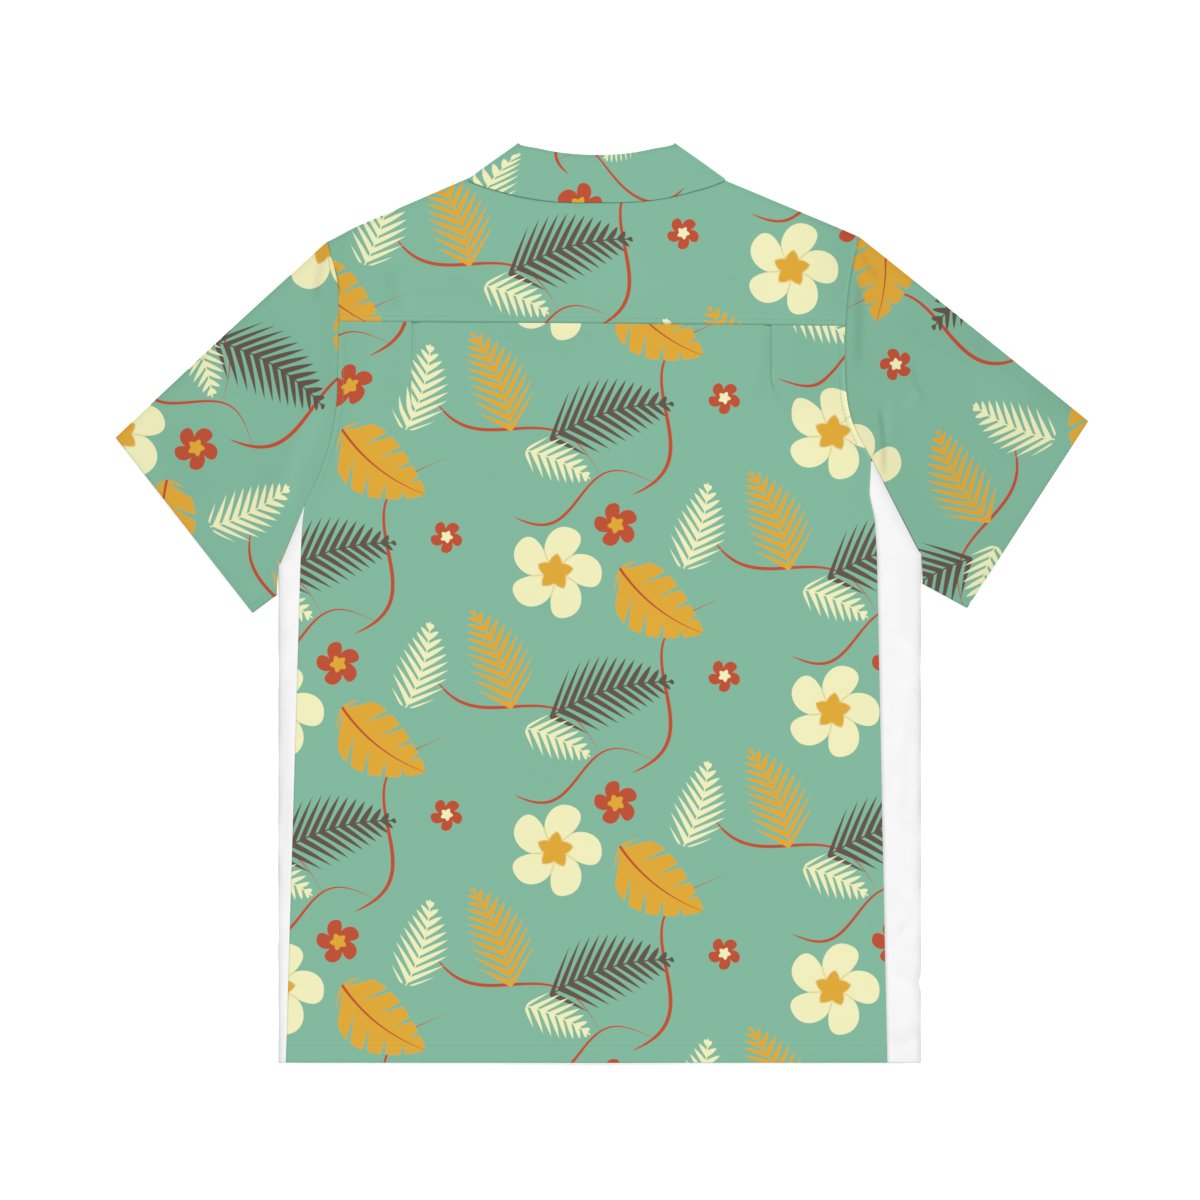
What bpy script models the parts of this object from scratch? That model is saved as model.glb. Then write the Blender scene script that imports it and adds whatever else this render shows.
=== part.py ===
"""A short-sleeved camp-collar shirt, laid face down and flat, with its back up.

Every piece is cut and placed as a sewn shirt has it: two fronts that wrap round the
side folds onto the back, a back with two pleats under a yoke, a yoke that turns over
both shoulders, two sleeves pressed flat, a collar folded over its own stand, two
turned-out lapels and six buttons. X runs across the shirt, Y from hem to collar and
Z up from the surface that the fronts lie on. All sizes below are in millimetres.
"""
import bpy
import numpy as np

# ---------------------------------------------------------------- driving sizes
WALL = 1.0                    # thickness of the cloth as a solid
SEAM = 0.3                    # gap between pieces that are sewn edge to edge
PLY = WALL + SEAM             # step from one layer of cloth to the next
FOLD_RADIUS = PLY / 2         # middle of the wall where cloth turns back on itself
FOLD_INSET = FOLD_RADIUS + WALL / 2
FLOOR = WALL / 2              # middle of a wall that lies on the surface
BACK_LEVEL = FLOOR + PLY      # middle of the back where it lies on the fronts

HEM_Y = -390.8
CENTRE_X = -4.5               # centre front and centre of the collar
PLACKET_HALF = 15.0           # the fronts overlap this far past the centre
V_POINT_Y = 250.0             # where the two roll lines meet
PLACKET_TOP_Y = 228.0

BUTTON_COUNT = 6
BUTTON_TOP_Y = 212.0
BUTTON_SPACING = 102.0
BUTTON_RADIUS = 5.75
BUTTON_HEIGHT = 1.8
DOME_FLAT = 7.0               # half width of the cloth held up by one button
DOME_FOOT = 15.0              # half width of the rise round it
DOME_RISE = BUTTON_HEIGHT + SEAM + WALL / 2 - FLOOR

SWELL_BROAD = 1.0             # how far the back stands off the fronts over its width
SWELL_MIDDLE = 2.6            # and over the placket and its buttons
SWELL_MIDDLE_HALF = 110.0

COLLAR_FOLD_Y = 380.6         # top edge of the collar at the centre back
COLLAR_FOLD_RISE = 10.4       # and how much higher it is at the sides
COLLAR_HALF = 66.2
COLLAR_BACK_ANGLE = -90.0     # the way the collar falls at the centre, in degrees
COLLAR_SIDE_ANGLE = -35.5
COLLAR_FRONT_ANGLE = -24.7
COLLAR_LEAF_BACK = 39.4
COLLAR_LEAF_SIDE = 52.0
COLLAR_LEAF_TIP = 58.0
COLLAR_STAND_BACK = 28.6
COLLAR_STAND_SIDE = 28.0
COLLAR_STAND_TIP = 4.5
COLLAR_TIP_TURN = 10.0        # degrees by which the leaf's end turns off the lapel
GORGE = 0.537                 # share of the roll line that the collar takes
LAPEL_WIDTH = 50.0
LAPEL_END = 0.955
LAPEL_TURN = 12.0
LIFT_MARGIN = 15.0            # cloth stays lifted this far past a collar or lapel
LIFT_RUN = 26.0               # and comes down over this distance

YOKE_FRONT_DEPTH = 22.0       # how far the yoke comes over the shoulder
YOKE_FRONT_LEAN = 24.2        # degrees by which its end leans in at the armhole
PLEAT_DEPTH = 9.0
PLEAT_LENGTH = 44.0           # from the yoke seam to where the fold has closed
PLEAT_FADE = 34.0             # and from there to where its rise has gone
PLEAT_RUN = 17.0              # the top ply comes back to the panel over this width
PLEATS = {"x": [-162.0, 144.0], "faces": [1.0, -1.0]}
PLEAT_COLUMNS = 12

SLEEVE_SWELL = 1.2
SLEEVE_ROWS = [0.0, 0.05, 0.1, 0.16, 0.24, 0.34, 0.48, 0.64, 0.8, 0.91, 1.0]

# The largest soft folds pressed into the back of the sleeves: ends, half width, height.
FOLDS = {
    "x0": [-237.0, 220.0, 262.0, -330.0],
    "y0": [302.0, 284.0, 198.0, 120.0],
    "x1": [-247.0, 219.0, 284.0, -300.0],
    "y1": [255.0, 196.0, 168.0, 70.0],
    "half_width": [11.0, 10.0, 12.0, 14.0],
    "height": [-0.5, -0.45, 0.5, 0.5],
}

# Where the sections of the collar lie: down the front, round the side, along the back.
COLLAR_FRONT_SHARES = [1.0, 0.8, 0.6, 0.4, 0.2, 0.0]
COLLAR_SIDE_TURNS = [150.0, 120.0, 90.0, 60.0, 30.0]
COLLAR_BACK_SHARES = [1.0, 0.9, 0.78, 0.64, 0.48, 0.32, 0.16]
COLLAR_LOW = FLOOR + PLY / 2             # middle of its fold on the front
COLLAR_HIGH = BACK_LEVEL + 3 * PLY / 2   # and on the back
FRONT_NECK_SHARES = [1.0, 0.75, 0.55, 0.37]
LAPEL_ROWS = 8

# The yoke's grid: places along each shoulder fold, where its columns start on the
# yoke seam, and its rows up the back, round the folds and down the front.
YOKE_FOLD_PLACES = [0.0, 0.13, 0.3, 0.5, 0.72, 1.0, 1.5, 2.0]
YOKE_FRONT_SHARES = [0.0, 0.12, 0.28, 0.46, 0.66, 0.86, 0.93, 1.0]
YOKE_STARTS = {
    "left": [-200.0, -186.0, -171.0, -162.0, -150.0, -118.0, -86.0],
    "right": [77.0, 105.0, 132.0, 144.0, 153.0, 168.0, 187.0],
}
YOKE_ROW_SHARES = [0.0, 0.12, 0.3, 0.5, 0.7, 0.87]
YOKE_FOLD_TURNS = [45.0, 90.0, 135.0]
YOKE_OVER_SHARES = [0.0, 0.5, 1.0]

# The back panel's two edges from the hem up: side seam, then armhole, to the yoke.
# One row for each section, the same rows left and right.
BACK_EDGE = {
    "left_x": [-268.6, -266.0, -263.0, -260.1, -258.0, -256.2, -255.3, -254.4,
               -252.5, -239.7, -230.7, -227.4, -224.4, -223.9],
    "left_y": [HEM_Y, -302.0, -200.0, -101.0, -29.4, 32.0, 55.0, 69.0,
               83.1, 111.1, 139.2, 155.3, 205.5, 239.0],
    "right_x": [242.3, 240.5, 238.4, 236.4, 234.9, 233.5, 231.6, 227.0,
                228.7, 220.2, 213.5, 209.5, 206.6, 206.6],
    "right_y": [HEM_Y, -302.0, -199.0, -100.0, -27.0, 42.0, 71.2, 92.0,
                122.5, 137.5, 151.5, 166.0, 195.0, 235.2],
}
UNDERARM_ROW = 5              # row of the table above at the underarm
ARMHOLE_ROW = 8               # and where the armhole starts

# The same armholes going on up the yoke to the shoulder fold.
YOKE_EDGE = {
    "left_x": [-223.9, -224.4, -232.9],
    "left_y": [239.0, 269.7, 306.6],
    "right_x": [206.6, 210.0, 220.2],
    "right_y": [235.2, 272.6, 310.9],
}

# Each side's outline: the side fold, the underarm and the two corners of the cuff.
SIDES = {
    "left": {"hand": -1.0, "fold_x": -275.0, "underarm_y": 32.0, "notch_y": 7.0,
             "cuff_top": (-413.4, 140.5), "cuff_low": (-296.9, -8.7)},
    "right": {"hand": 1.0, "fold_x": 271.4, "underarm_y": 42.0, "notch_y": 16.3,
              "cuff_top": (413.4, 154.5), "cuff_low": (310.3, -4.5)},
}

# Front armhole from the underarm up: distance out from the centre, height, and the
# row of the front panel on which each of its corners lies.
FRONT_ARMHOLE = {
    "out": [0.0, 240.0, 218.0, 209.0, 209.5, 0.0],
    "y": [0.0, 76.0, 122.0, 182.0, 240.0, 0.0],
    "row": [0, 2, 5, 8, 12, 16],
}


# ---------------------------------------------------------------- small helpers
def smooth(value):
    """Zero below 0, one above 1, an S-curve between."""
    value = np.clip(value, 0.0, 1.0)
    return value * value * (3.0 - 2.0 * value)


def unit(vector):
    """The same direction with length one."""
    vector = np.asarray(vector, dtype=float)
    return vector / np.linalg.norm(vector)


def heading(degrees):
    """Unit vectors in the XY plane that point at the given angles."""
    angle = np.radians(degrees)
    return np.stack([np.cos(angle), np.sin(angle)], axis=-1)


def between(start, end, share):
    """Points at the given shares of the way from start to end."""
    share = np.asarray(share, dtype=float)[..., None]
    return np.asarray(start) * (1.0 - share) + np.asarray(end) * share


def make_material(name, colour, roughness):
    """A plain cloth or button finish."""
    material = bpy.data.materials.new(name)
    material.use_nodes = True
    shader = material.node_tree.nodes["Principled BSDF"]
    shader.inputs["Base Color"].default_value = (*colour, 1.0)
    shader.inputs["Roughness"].default_value = roughness
    shader.inputs["Metallic"].default_value = 0.0
    return material


def add_object(name, points, faces, material):
    """A mesh object from points in millimetres, at the world's origin."""
    mesh = bpy.data.meshes.new(name)
    mesh.from_pydata((np.asarray(points) * 0.001).tolist(), [], faces)
    mesh.materials.append(material)
    mesh.shade_smooth()
    mesh.set_sharp_from_angle(angle=np.radians(50.0))
    item = bpy.data.objects.new(name, mesh)
    bpy.context.scene.collection.objects.link(item)
    return item


def add_sheet(name, grid, colour, cells=None, closed=False, crossed=False):
    """Cloth from a grid of mid-wall points; cells marks which of its squares exist.

    Each square is split along one diagonal, or along the other where crossed is set,
    so that two layers that lie on each other can be split alike.
    """
    rows, columns = grid.shape[:2]
    wrap = columns if closed else columns - 1
    if cells is None:
        cells = np.ones((rows - 1, wrap), dtype=bool)
    row, column = np.nonzero(cells)
    after = (column + 1) % columns
    corners = np.stack([row * columns + column, row * columns + after,
                        (row + 1) * columns + after, (row + 1) * columns + column], axis=1)
    split = [[0, 1, 3], [1, 2, 3]] if crossed else [[0, 1, 2], [0, 2, 3]]
    triangles = corners[:, split].reshape(-1, 3)
    used, triangles = np.unique(triangles, return_inverse=True)
    faces = triangles.reshape(-1, 3).tolist()
    item = add_object(name, grid.reshape(-1, 3)[used], faces, make_material(name, colour, 0.85))
    wall = item.modifiers.new("wall", "SOLIDIFY")
    wall.thickness = WALL * 0.001
    wall.offset = 0.0
    return item


# ---------------------------------------------------------------- levels of the layers
def roll_line(hand):
    """Start at the side of the neck, direction down the front, and length."""
    start = np.array([CENTRE_X + hand * COLLAR_HALF, COLLAR_FOLD_Y + COLLAR_FOLD_RISE])
    end = np.array([CENTRE_X, V_POINT_Y])
    return start, unit(end - start), np.linalg.norm(end - start)


def leaf_width_at(share):
    """Width of what is turned out along the roll line: the collar, then the lapel."""
    lapel = LAPEL_WIDTH * (1.0 - share) / (1.0 - GORGE)
    return np.where(share < GORGE, COLLAR_LEAF_TIP, np.minimum(lapel, LAPEL_WIDTH))


def collar_lift(x, y):
    """Height that the collar and lapels under the fronts give the cloth above them."""
    lift = np.zeros(np.broadcast(x, y).shape)
    for hand in (-1.0, 1.0):
        start, along, length = roll_line(hand)
        share = ((x - start[0]) * along[0] + (y - start[1]) * along[1]) / length
        out = ((x - start[0]) * -along[1] + (y - start[1]) * along[0]) * hand
        past = np.maximum(out, 0.0) - leaf_width_at(share) - LIFT_MARGIN
        here = np.where(hand * (x - CENTRE_X) >= 0.0, 1.0, 0.0)
        lift = np.maximum(lift, here * PLY * (1.0 - smooth(past / LIFT_RUN)))
    return lift


def button_heights():
    """Y of each button, from the top one down."""
    return BUTTON_TOP_Y - BUTTON_SPACING * np.arange(BUTTON_COUNT)


def button_domes(x, y):
    """Rise of the placket over each button: flat on top, with sloping sides."""
    run = DOME_FOOT - DOME_FLAT
    across = 1.0 - np.clip((np.abs(x - CENTRE_X) - DOME_FLAT) / run, 0.0, 1.0)
    total = np.zeros(np.broadcast(x, y).shape)
    for centre in button_heights():
        up = 1.0 - np.clip((np.abs(y - centre) - DOME_FLAT) / run, 0.0, 1.0)
        total = np.maximum(total, DOME_RISE * across * up)
    return total


def front_inner_x(hand, y):
    """X of a front's inner edge: placket, then the corner to the V, then the roll line."""
    start, along, _ = roll_line(hand)
    placket = CENTRE_X - hand * PLACKET_HALF
    corner = np.clip((y - PLACKET_TOP_Y) / (V_POINT_Y - PLACKET_TOP_Y), 0.0, 1.0)
    roll = np.maximum(y - V_POINT_Y, 0.0) * along[0] / along[1]
    return placket * (1.0 - corner) + CENTRE_X * corner + roll


def front_level(hand, x, y):
    """Middle of a front's wall; the right one passes over the left at the placket."""
    level = FLOOR + collar_lift(x, y) + button_domes(x, y)
    if hand > 0:
        past = x - front_inner_x(-1.0, y) - 4.0
        level = level + PLY * (1.0 - smooth(past / 15.0))
    return level


def shoulder_line(x):
    """Y of the shoulder fold above a given X, falling away on both sides."""
    return np.interp(x, [-233.0, -113.0, 104.0, 220.0], [306.6, 360.0, 360.0, 310.9])


def back_level(x, y):
    """Middle of the back's wall: on the fronts at the edges, fuller in the middle."""
    middle = np.cos(np.clip(np.abs(x - CENTRE_X) / SWELL_MIDDLE_HALF, 0.0, 1.0) * np.pi / 2) ** 2
    broad = np.clip(1.0 - (x / 273.0) ** 2, 0.0, 1.0)
    below_neck = 1.0 - smooth((y - 232.0) / 90.0)
    below_shoulder = smooth((shoulder_line(x) - y) / 60.0)
    swell = SWELL_MIDDLE * middle * below_neck + SWELL_BROAD * broad * below_shoulder
    return BACK_LEVEL + collar_lift(x, y) + swell


def fold_relief(x, y):
    """Height of the soft folds: a rounded ridge or trough along each short line."""
    total = np.zeros(np.broadcast(x, y).shape)
    for x0, y0, x1, y1, half_width, height in zip(*FOLDS.values()):
        run = np.array([x1 - x0, y1 - y0])
        length = np.linalg.norm(run)
        along = ((x - x0) * run[0] + (y - y0) * run[1]) / length ** 2
        aside = ((x - x0) * run[1] - (y - y0) * run[0]) / length
        ends = smooth(along / 0.3 + 0.5) * smooth((1.0 - along) / 0.3 + 0.5)
        total = total + height * ends * (1.0 - smooth(np.abs(aside) / half_width))
    return total


# ---------------------------------------------------------------- collar and lapels
def collar_section(stand, leaf):
    """Points across the collar, as distance from the fold and side of it.

    It runs from the neck seam up the stand, round the fold and down the leaf.
    """
    turn = np.radians([-60.0, -20.0, 20.0, 60.0])
    out = [stand - SEAM / 2, stand * 0.5, 0.0, *(-FOLD_RADIUS * np.cos(turn)),
           0.0, leaf * 0.33, leaf * 0.67, leaf]
    side = [-FOLD_RADIUS] * 3 + list(FOLD_RADIUS * np.sin(turn)) + [FOLD_RADIUS] * 4
    return np.array(out), np.array(side)


def collar_back_station(share):
    """Fold point, fall direction, stand and leaf at a share of the half width."""
    angle = COLLAR_BACK_ANGLE + (COLLAR_SIDE_ANGLE - COLLAR_BACK_ANGLE) * share
    fall = heading(angle)
    edge = np.array([COLLAR_HALF * share, COLLAR_FOLD_Y + COLLAR_FOLD_RISE * share ** 2.2])
    stand = COLLAR_STAND_BACK + (COLLAR_STAND_SIDE - COLLAR_STAND_BACK) * share
    leaf = COLLAR_LEAF_BACK + (COLLAR_LEAF_SIDE - COLLAR_LEAF_BACK) * share ** 1.5
    sideways = unit(np.array([-fall[1], fall[0]]))
    inset = (3 * PLY / 2 + WALL / 2) * smooth((share - 0.7) / 0.3)
    return edge + FOLD_INSET * fall - inset * sideways, fall, stand, leaf


def collar_front_station(share):
    """The same down the front, as a share of the way from the neck to the gorge."""
    side_point = collar_back_station(1.0)[0]
    along = roll_line(1.0)[1]
    length = roll_line(1.0)[2] * GORGE - 2.0
    turned = COLLAR_SIDE_ANGLE + (COLLAR_FRONT_ANGLE - COLLAR_SIDE_ANGLE) * smooth(share * 2.0)
    fall = heading(turned + COLLAR_TIP_TURN * share ** 3)
    stand = COLLAR_STAND_SIDE + (COLLAR_STAND_TIP - COLLAR_STAND_SIDE) * share
    leaf = COLLAR_LEAF_SIDE + (COLLAR_LEAF_TIP - COLLAR_LEAF_SIDE) * share
    return side_point + along * length * share, fall, stand, leaf


def collar_row(point, fall, stand, leaf, turn):
    """One section of the right half; turn goes from 0 on the back to 180 on the front."""
    out, side = collar_section(stand, leaf)
    sideways = np.array([-fall[1], fall[0]])
    radius = (COLLAR_HIGH - COLLAR_LOW) / 2
    lean, rise = np.sin(np.radians(turn)), np.cos(np.radians(turn))
    flat = point + (radius * lean) * sideways + out[:, None] * fall + (side * lean)[:, None] * sideways
    height = (COLLAR_HIGH + COLLAR_LOW) / 2 + radius * rise + side * rise
    return np.column_stack([flat, height])


def collar_half():
    """Sections of the right half, from the front end round to just off the centre back."""
    rows = [collar_row(*collar_front_station(share), 180.0) for share in COLLAR_FRONT_SHARES]
    side = collar_back_station(1.0)
    rows += [collar_row(*side, turn) for turn in COLLAR_SIDE_TURNS]
    rows += [collar_row(*collar_back_station(share), 0.0) for share in COLLAR_BACK_SHARES]
    return np.array(rows)


def make_collar():
    """One sheet folded over its stand, round the whole neck."""
    right = collar_half()
    centre = collar_row(*collar_back_station(0.0), 0.0)[None]
    left = right[::-1] * np.array([-1.0, 1.0, 1.0])
    grid = np.concatenate([right, centre, left])
    grid[..., 0] += CENTRE_X
    add_sheet("collar", grid, (0.21, 0.48, 0.34))


def neck_points(station, shares, hand):
    """Points of the neck seam below the stand, on the body's side of it."""
    points = []
    for share in shares:
        point, fall, stand, _ = station(share)
        points.append((point + (stand + SEAM / 2) * fall) * (hand, 1.0) + (CENTRE_X, 0.0))
    return np.array(points)


def make_lapel(name, hand):
    """The turned-out top of one front, from the gorge down to the V."""
    start, along, length = roll_line(hand)
    out_way = np.array([-along[1], along[0]]) * hand
    shares = np.linspace(GORGE + 0.012, LAPEL_END, LAPEL_ROWS)
    rows = []
    for share in shares:
        top = (LAPEL_END - share) / (LAPEL_END - GORGE)
        width = LAPEL_WIDTH * (1.0 - share) / (1.0 - GORGE)
        point = start + along * length * share + out_way * FOLD_INSET
        tilt = np.radians(LAPEL_TURN) * top ** 3
        fall = unit(out_way * np.cos(tilt) + along * np.sin(tilt))
        edge_z = front_level(hand, *point)
        radius = (edge_z - FLOOR) / 2
        turn = np.radians([-60.0, -20.0, 20.0, 60.0])
        out = np.array([-SEAM / 3, *(-radius * np.cos(turn)), 0.0, width * 0.5, width])
        side = np.array([-radius, *(radius * np.sin(turn)), radius, radius, radius])
        flat = point + out[:, None] * fall
        rows.append(np.column_stack([flat, FLOOR + radius - side]))
    add_sheet(name, np.array(rows), (0.21, 0.48, 0.34))


# ---------------------------------------------------------------- body panels
def pleat_profile():
    """One folded pleat from its under ply to its top ply: flat place, X and height."""
    turn = np.radians([-30.0, 30.0])
    bow = FOLD_RADIUS * np.cos(turn)
    first = FOLD_RADIUS * (1.0 + np.sin(turn))
    lead = -3.0
    spread = np.linspace(lead, PLEAT_DEPTH + PLEAT_RUN, PLEAT_COLUMNS)
    folded = [lead, PLEAT_DEPTH, *(PLEAT_DEPTH + bow), PLEAT_DEPTH,
              0.0, *(-bow), 0.0, PLEAT_DEPTH * 0.5, PLEAT_DEPTH, PLEAT_DEPTH + PLEAT_RUN]
    height = [0.0, 0.0, *first, PLY, PLY, *(PLY + first), 2 * PLY, 2 * PLY, 2 * PLY, 0.0]
    return spread, np.array(folded), np.array(height)


def lay_pleat(below_seam, pleat_x, faces):
    """X and height of a pleat's columns at a distance below the yoke seam.

    Going down, the fold first draws back to its edge and then its rise dies away.
    """
    spread, folded, height = pleat_profile()
    drawn_back = smooth(below_seam / PLEAT_LENGTH)
    rise_share = 1.0 - smooth((below_seam - PLEAT_LENGTH) / PLEAT_FADE)
    under_ply = slice(1, 5)
    folded[under_ply] -= PLEAT_DEPTH * drawn_back
    place = spread * (1.0 - rise_share) + folded * rise_share
    return pleat_x - faces * place, height * rise_share


def edge_points(table, side, gap):
    """A table's left or right edge, moved in by half a seam."""
    hand = SIDES[side]["hand"]
    x = np.array(table[side + "_x"]) - hand * gap
    return np.column_stack([x, table[side + "_y"]])


def make_back():
    """The back panel, hem to yoke seam, with a pleat under the yoke on each side."""
    left, right = edge_points(BACK_EDGE, "left", SEAM / 2), edge_points(BACK_EDGE, "right", SEAM / 2)
    left[-1, 1] -= SEAM / 2
    right[-1, 1] -= SEAM / 2
    rows_at = refine_rows(len(left))
    left = np.stack([np.interp(rows_at, range(len(left)), left[:, k]) for k in (0, 1)], axis=1)
    right = np.stack([np.interp(rows_at, range(len(right)), right[:, k]) for k in (0, 1)], axis=1)
    grid = []
    for start, end in zip(left, right):
        grid.append(back_row(start, end, left[-1], right[-1]))
    add_sheet("back", np.array(grid), (0.22, 0.49, 0.35))


def refine_rows(count):
    """Row places of the back panel, with extra ones where the pleats open."""
    plain = list(range(count - 2))
    last = count - 2
    return np.array(plain + [last, last + 0.25, last + 0.5, last + 0.75, last + 1.0])


def back_row(start, end, seam_start, seam_end):
    """One row of the back, from its left edge to its right, with both pleats laid in."""
    def on_row(x):
        return np.interp(x, [start[0], end[0]], [start[1], end[1]])

    def seam_gap(x):
        return np.interp(x, [seam_start[0], seam_end[0]], [seam_start[1], seam_end[1]]) - on_row(x)

    pleats = [lay_pleat(seam_gap(x), x, faces) for x, faces in zip(*PLEATS.values())]
    (left_pleat, left_rise), (right_pleat, right_rise) = pleats
    outer_left = between(start[0], left_pleat[-1], [0.0, 0.45])[..., 0]
    middle = between(left_pleat[0], right_pleat[0], np.linspace(0.14, 0.86, 6))[..., 0]
    outer_right = between(right_pleat[-1], end[0], [0.55, 1.0])[..., 0]
    x = np.concatenate([outer_left, left_pleat[::-1], middle, right_pleat, outer_right])
    rise = np.concatenate([[0.0, 0.0], left_rise[::-1], np.zeros(6), right_rise, [0.0, 0.0]])
    y = on_row(x)
    return np.column_stack([x, y, back_level(x, y) + rise])


def make_yoke():
    """The yoke: up the back, over both shoulder folds and a little down the front."""
    shoulders = [yoke_shoulder(side) for side in SIDES]
    shares = COLLAR_BACK_SHARES[1:]
    neck = np.concatenate([neck_points(collar_back_station, shares, -1.0),
                           neck_points(collar_back_station, [0.0], 1.0),
                           neck_points(collar_back_station, shares[::-1], 1.0)])
    grid = np.array(yoke_back_rows(shoulders, neck) + yoke_over_rows(shoulders, len(neck)))
    cells = np.ones((grid.shape[0] - 1, grid.shape[1] - 1), dtype=bool)
    side_columns = len(YOKE_FOLD_PLACES)
    cells[len(YOKE_ROW_SHARES):, side_columns - 1:grid.shape[1] - side_columns] = False
    add_sheet("yoke", grid, (0.22, 0.49, 0.35), cells)


def sleeve_top_way(side):
    """The way out from the sleeve's top fold."""
    shoulder = np.array([YOKE_EDGE[side + "_x"][-1], YOKE_EDGE[side + "_y"][-1]])
    run = shoulder - np.array(SIDES[side]["cuff_top"])
    way = unit(np.array([-run[1], run[0]]))
    return way * np.sign(way[1])


def shoulder_corner(side):
    """Middle of the bend where yoke and sleeve meet at the shoulder."""
    shoulder = np.array([YOKE_EDGE[side + "_x"][-1], YOKE_EDGE[side + "_y"][-1]])
    return shoulder - FOLD_INSET * sleeve_top_way(side)


def shoulder_fold_points(side, hand):
    """The shoulder fold from the armhole to the neck, as the middle of its bend."""
    top = np.array([YOKE_EDGE[side + "_x"][-1], YOKE_EDGE[side + "_y"][-1]])
    point, fall, stand, leaf = collar_back_station(1.0)
    neck = (point + (stand + SEAM / 2) * fall) * (hand, 1.0) + (CENTRE_X, 0.0)
    under_leaf = (point + (leaf + 1.0) * fall) * (hand, 1.0) + (CENTRE_X, 0.0)
    out_way = unit(np.array([-(under_leaf - top)[1], (under_leaf - top)[0]]) * -hand)
    top = shoulder_corner(side) - np.array([hand * SEAM / 2, 0.0])
    return np.array([top, under_leaf, neck]), out_way


def yoke_shoulder(side):
    """One shoulder's columns: points on its fold, ways out from it, front seam points."""
    hand = SIDES[side]["hand"]
    folds, out_way = shoulder_fold_points(side, hand)
    places = np.array(YOKE_FOLD_PLACES)
    fold = np.stack([np.interp(places, [0, 1, 2], folds[:, k]) for k in (0, 1)], axis=1)
    neck_fall = collar_back_station(1.0)[1] * (hand, 1.0)
    neck_way = np.array([neck_fall[1], -neck_fall[0]]) * -hand
    ways = between(out_way, neck_way, smooth(places - 0.5))
    ways = ways / np.linalg.norm(ways, axis=1)[:, None]
    armhole, neck = front_yoke_seam(side, hand)
    return {"fold": fold, "way": ways, "front": between(armhole, neck, YOKE_FRONT_SHARES)}


def front_yoke_seam(side, hand):
    """Two ends of the seam between yoke and front: at the armhole and at the neck."""
    top = np.array([YOKE_EDGE[side + "_x"][-1], YOKE_EDGE[side + "_y"][-1]])
    down = heading(-90.0 - hand * YOKE_FRONT_LEAN)
    neck = neck_points(collar_front_station, FRONT_NECK_SHARES[-1:], hand)[0]
    return top + YOKE_FRONT_DEPTH * down, neck


def yoke_pleat_rise(x, y, seam_y):
    """The yoke lies up over the top ply of each pleat just above the seam."""
    rise = np.zeros(np.broadcast(x, y).shape)
    for pleat_x, faces in zip(*PLEATS.values()):
        out = (pleat_x - x) * faces
        across = smooth((out + 12.0) / 12.0) * (1.0 - smooth((out - PLEAT_DEPTH) / PLEAT_RUN))
        rise = np.maximum(rise, 2 * PLY * across * (1.0 - smooth((y - seam_y) / 34.0)))
    return rise


def yoke_seam_points(x):
    """Points of the yoke's lower edge at given X."""
    ends = [[YOKE_EDGE[side + axis][0] for side in SIDES] for axis in ("_x", "_y")]
    return np.column_stack([x, np.interp(x, *ends) + SEAM / 2])


def yoke_back_rows(shoulders, neck):
    """Rows from the yoke seam up to the shoulder folds and the back neck seam."""
    left, right = shoulders
    middle_x = np.linspace(YOKE_STARTS["left"][-1], YOKE_STARTS["right"][0], len(neck) + 2)[1:-1]
    ends = [YOKE_EDGE[side + "_x"][0] - SIDES[side]["hand"] * SEAM / 2 for side in SIDES]
    start_x = [ends[0], *YOKE_STARTS["left"], *middle_x, *YOKE_STARTS["right"], ends[1]]
    starts = yoke_seam_points(np.array(start_x))
    tops = np.concatenate([left["fold"], neck, right["fold"][::-1]])
    rows = []
    for share in YOKE_ROW_SHARES + [1.0]:
        flat = between(starts, tops, np.full(len(starts), share))
        flat[0] = yoke_armhole_point("left", share)
        flat[-1] = yoke_armhole_point("right", share)
        x, y = flat.T
        rise = yoke_pleat_rise(x, y, yoke_seam_points(x)[:, 1])
        rows.append(np.column_stack([flat, back_level(x, y) + rise]))
    side_columns = len(YOKE_FOLD_PLACES)
    for columns in (slice(None, side_columns), slice(-side_columns, None)):
        rows[-1][columns, 2] = BACK_LEVEL + collar_lift(*tops[columns].T)
    return rows


def yoke_armhole_point(side, share):
    """A point of the yoke's armhole edge at a share of its height."""
    hand = SIDES[side]["hand"]
    corner = shoulder_corner(side)
    x = [*YOKE_EDGE[side + "_x"][:2], corner[0]]
    y = [YOKE_EDGE[side + "_y"][0] + SEAM / 2, YOKE_EDGE[side + "_y"][1], corner[1]]
    marks = [0.0, 0.5, 1.0]
    return np.array([np.interp(share, marks, x) - hand * SEAM / 2, np.interp(share, marks, y)])


def yoke_over_rows(shoulders, neck_count):
    """Rows round the shoulder folds and down to the front seam; the neck has none."""
    sections = []
    for shoulder in shoulders:
        fold, way = shoulder["fold"], shoulder["way"]
        middle = (BACK_LEVEL + FLOOR) / 2 + collar_lift(*fold.T)
        rows = []
        for turn in np.radians(YOKE_FOLD_TURNS):
            flat = fold + FOLD_RADIUS * np.sin(turn) * way
            rows.append(np.column_stack([flat, middle + FOLD_RADIUS * np.cos(turn)]))
        seam = shoulder["front"] + np.array([0.0, SEAM / 2])
        for share in YOKE_OVER_SHARES:
            flat = fold * (1.0 - share) + seam * share
            rows.append(np.column_stack([flat, FLOOR + collar_lift(*flat.T)]))
        sections.append(rows)
    joined = []
    for left, right in zip(*sections):
        empty = np.repeat(left[-1:], neck_count, axis=0)
        joined.append(np.concatenate([left, empty, right[::-1]]))
    return joined


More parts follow.
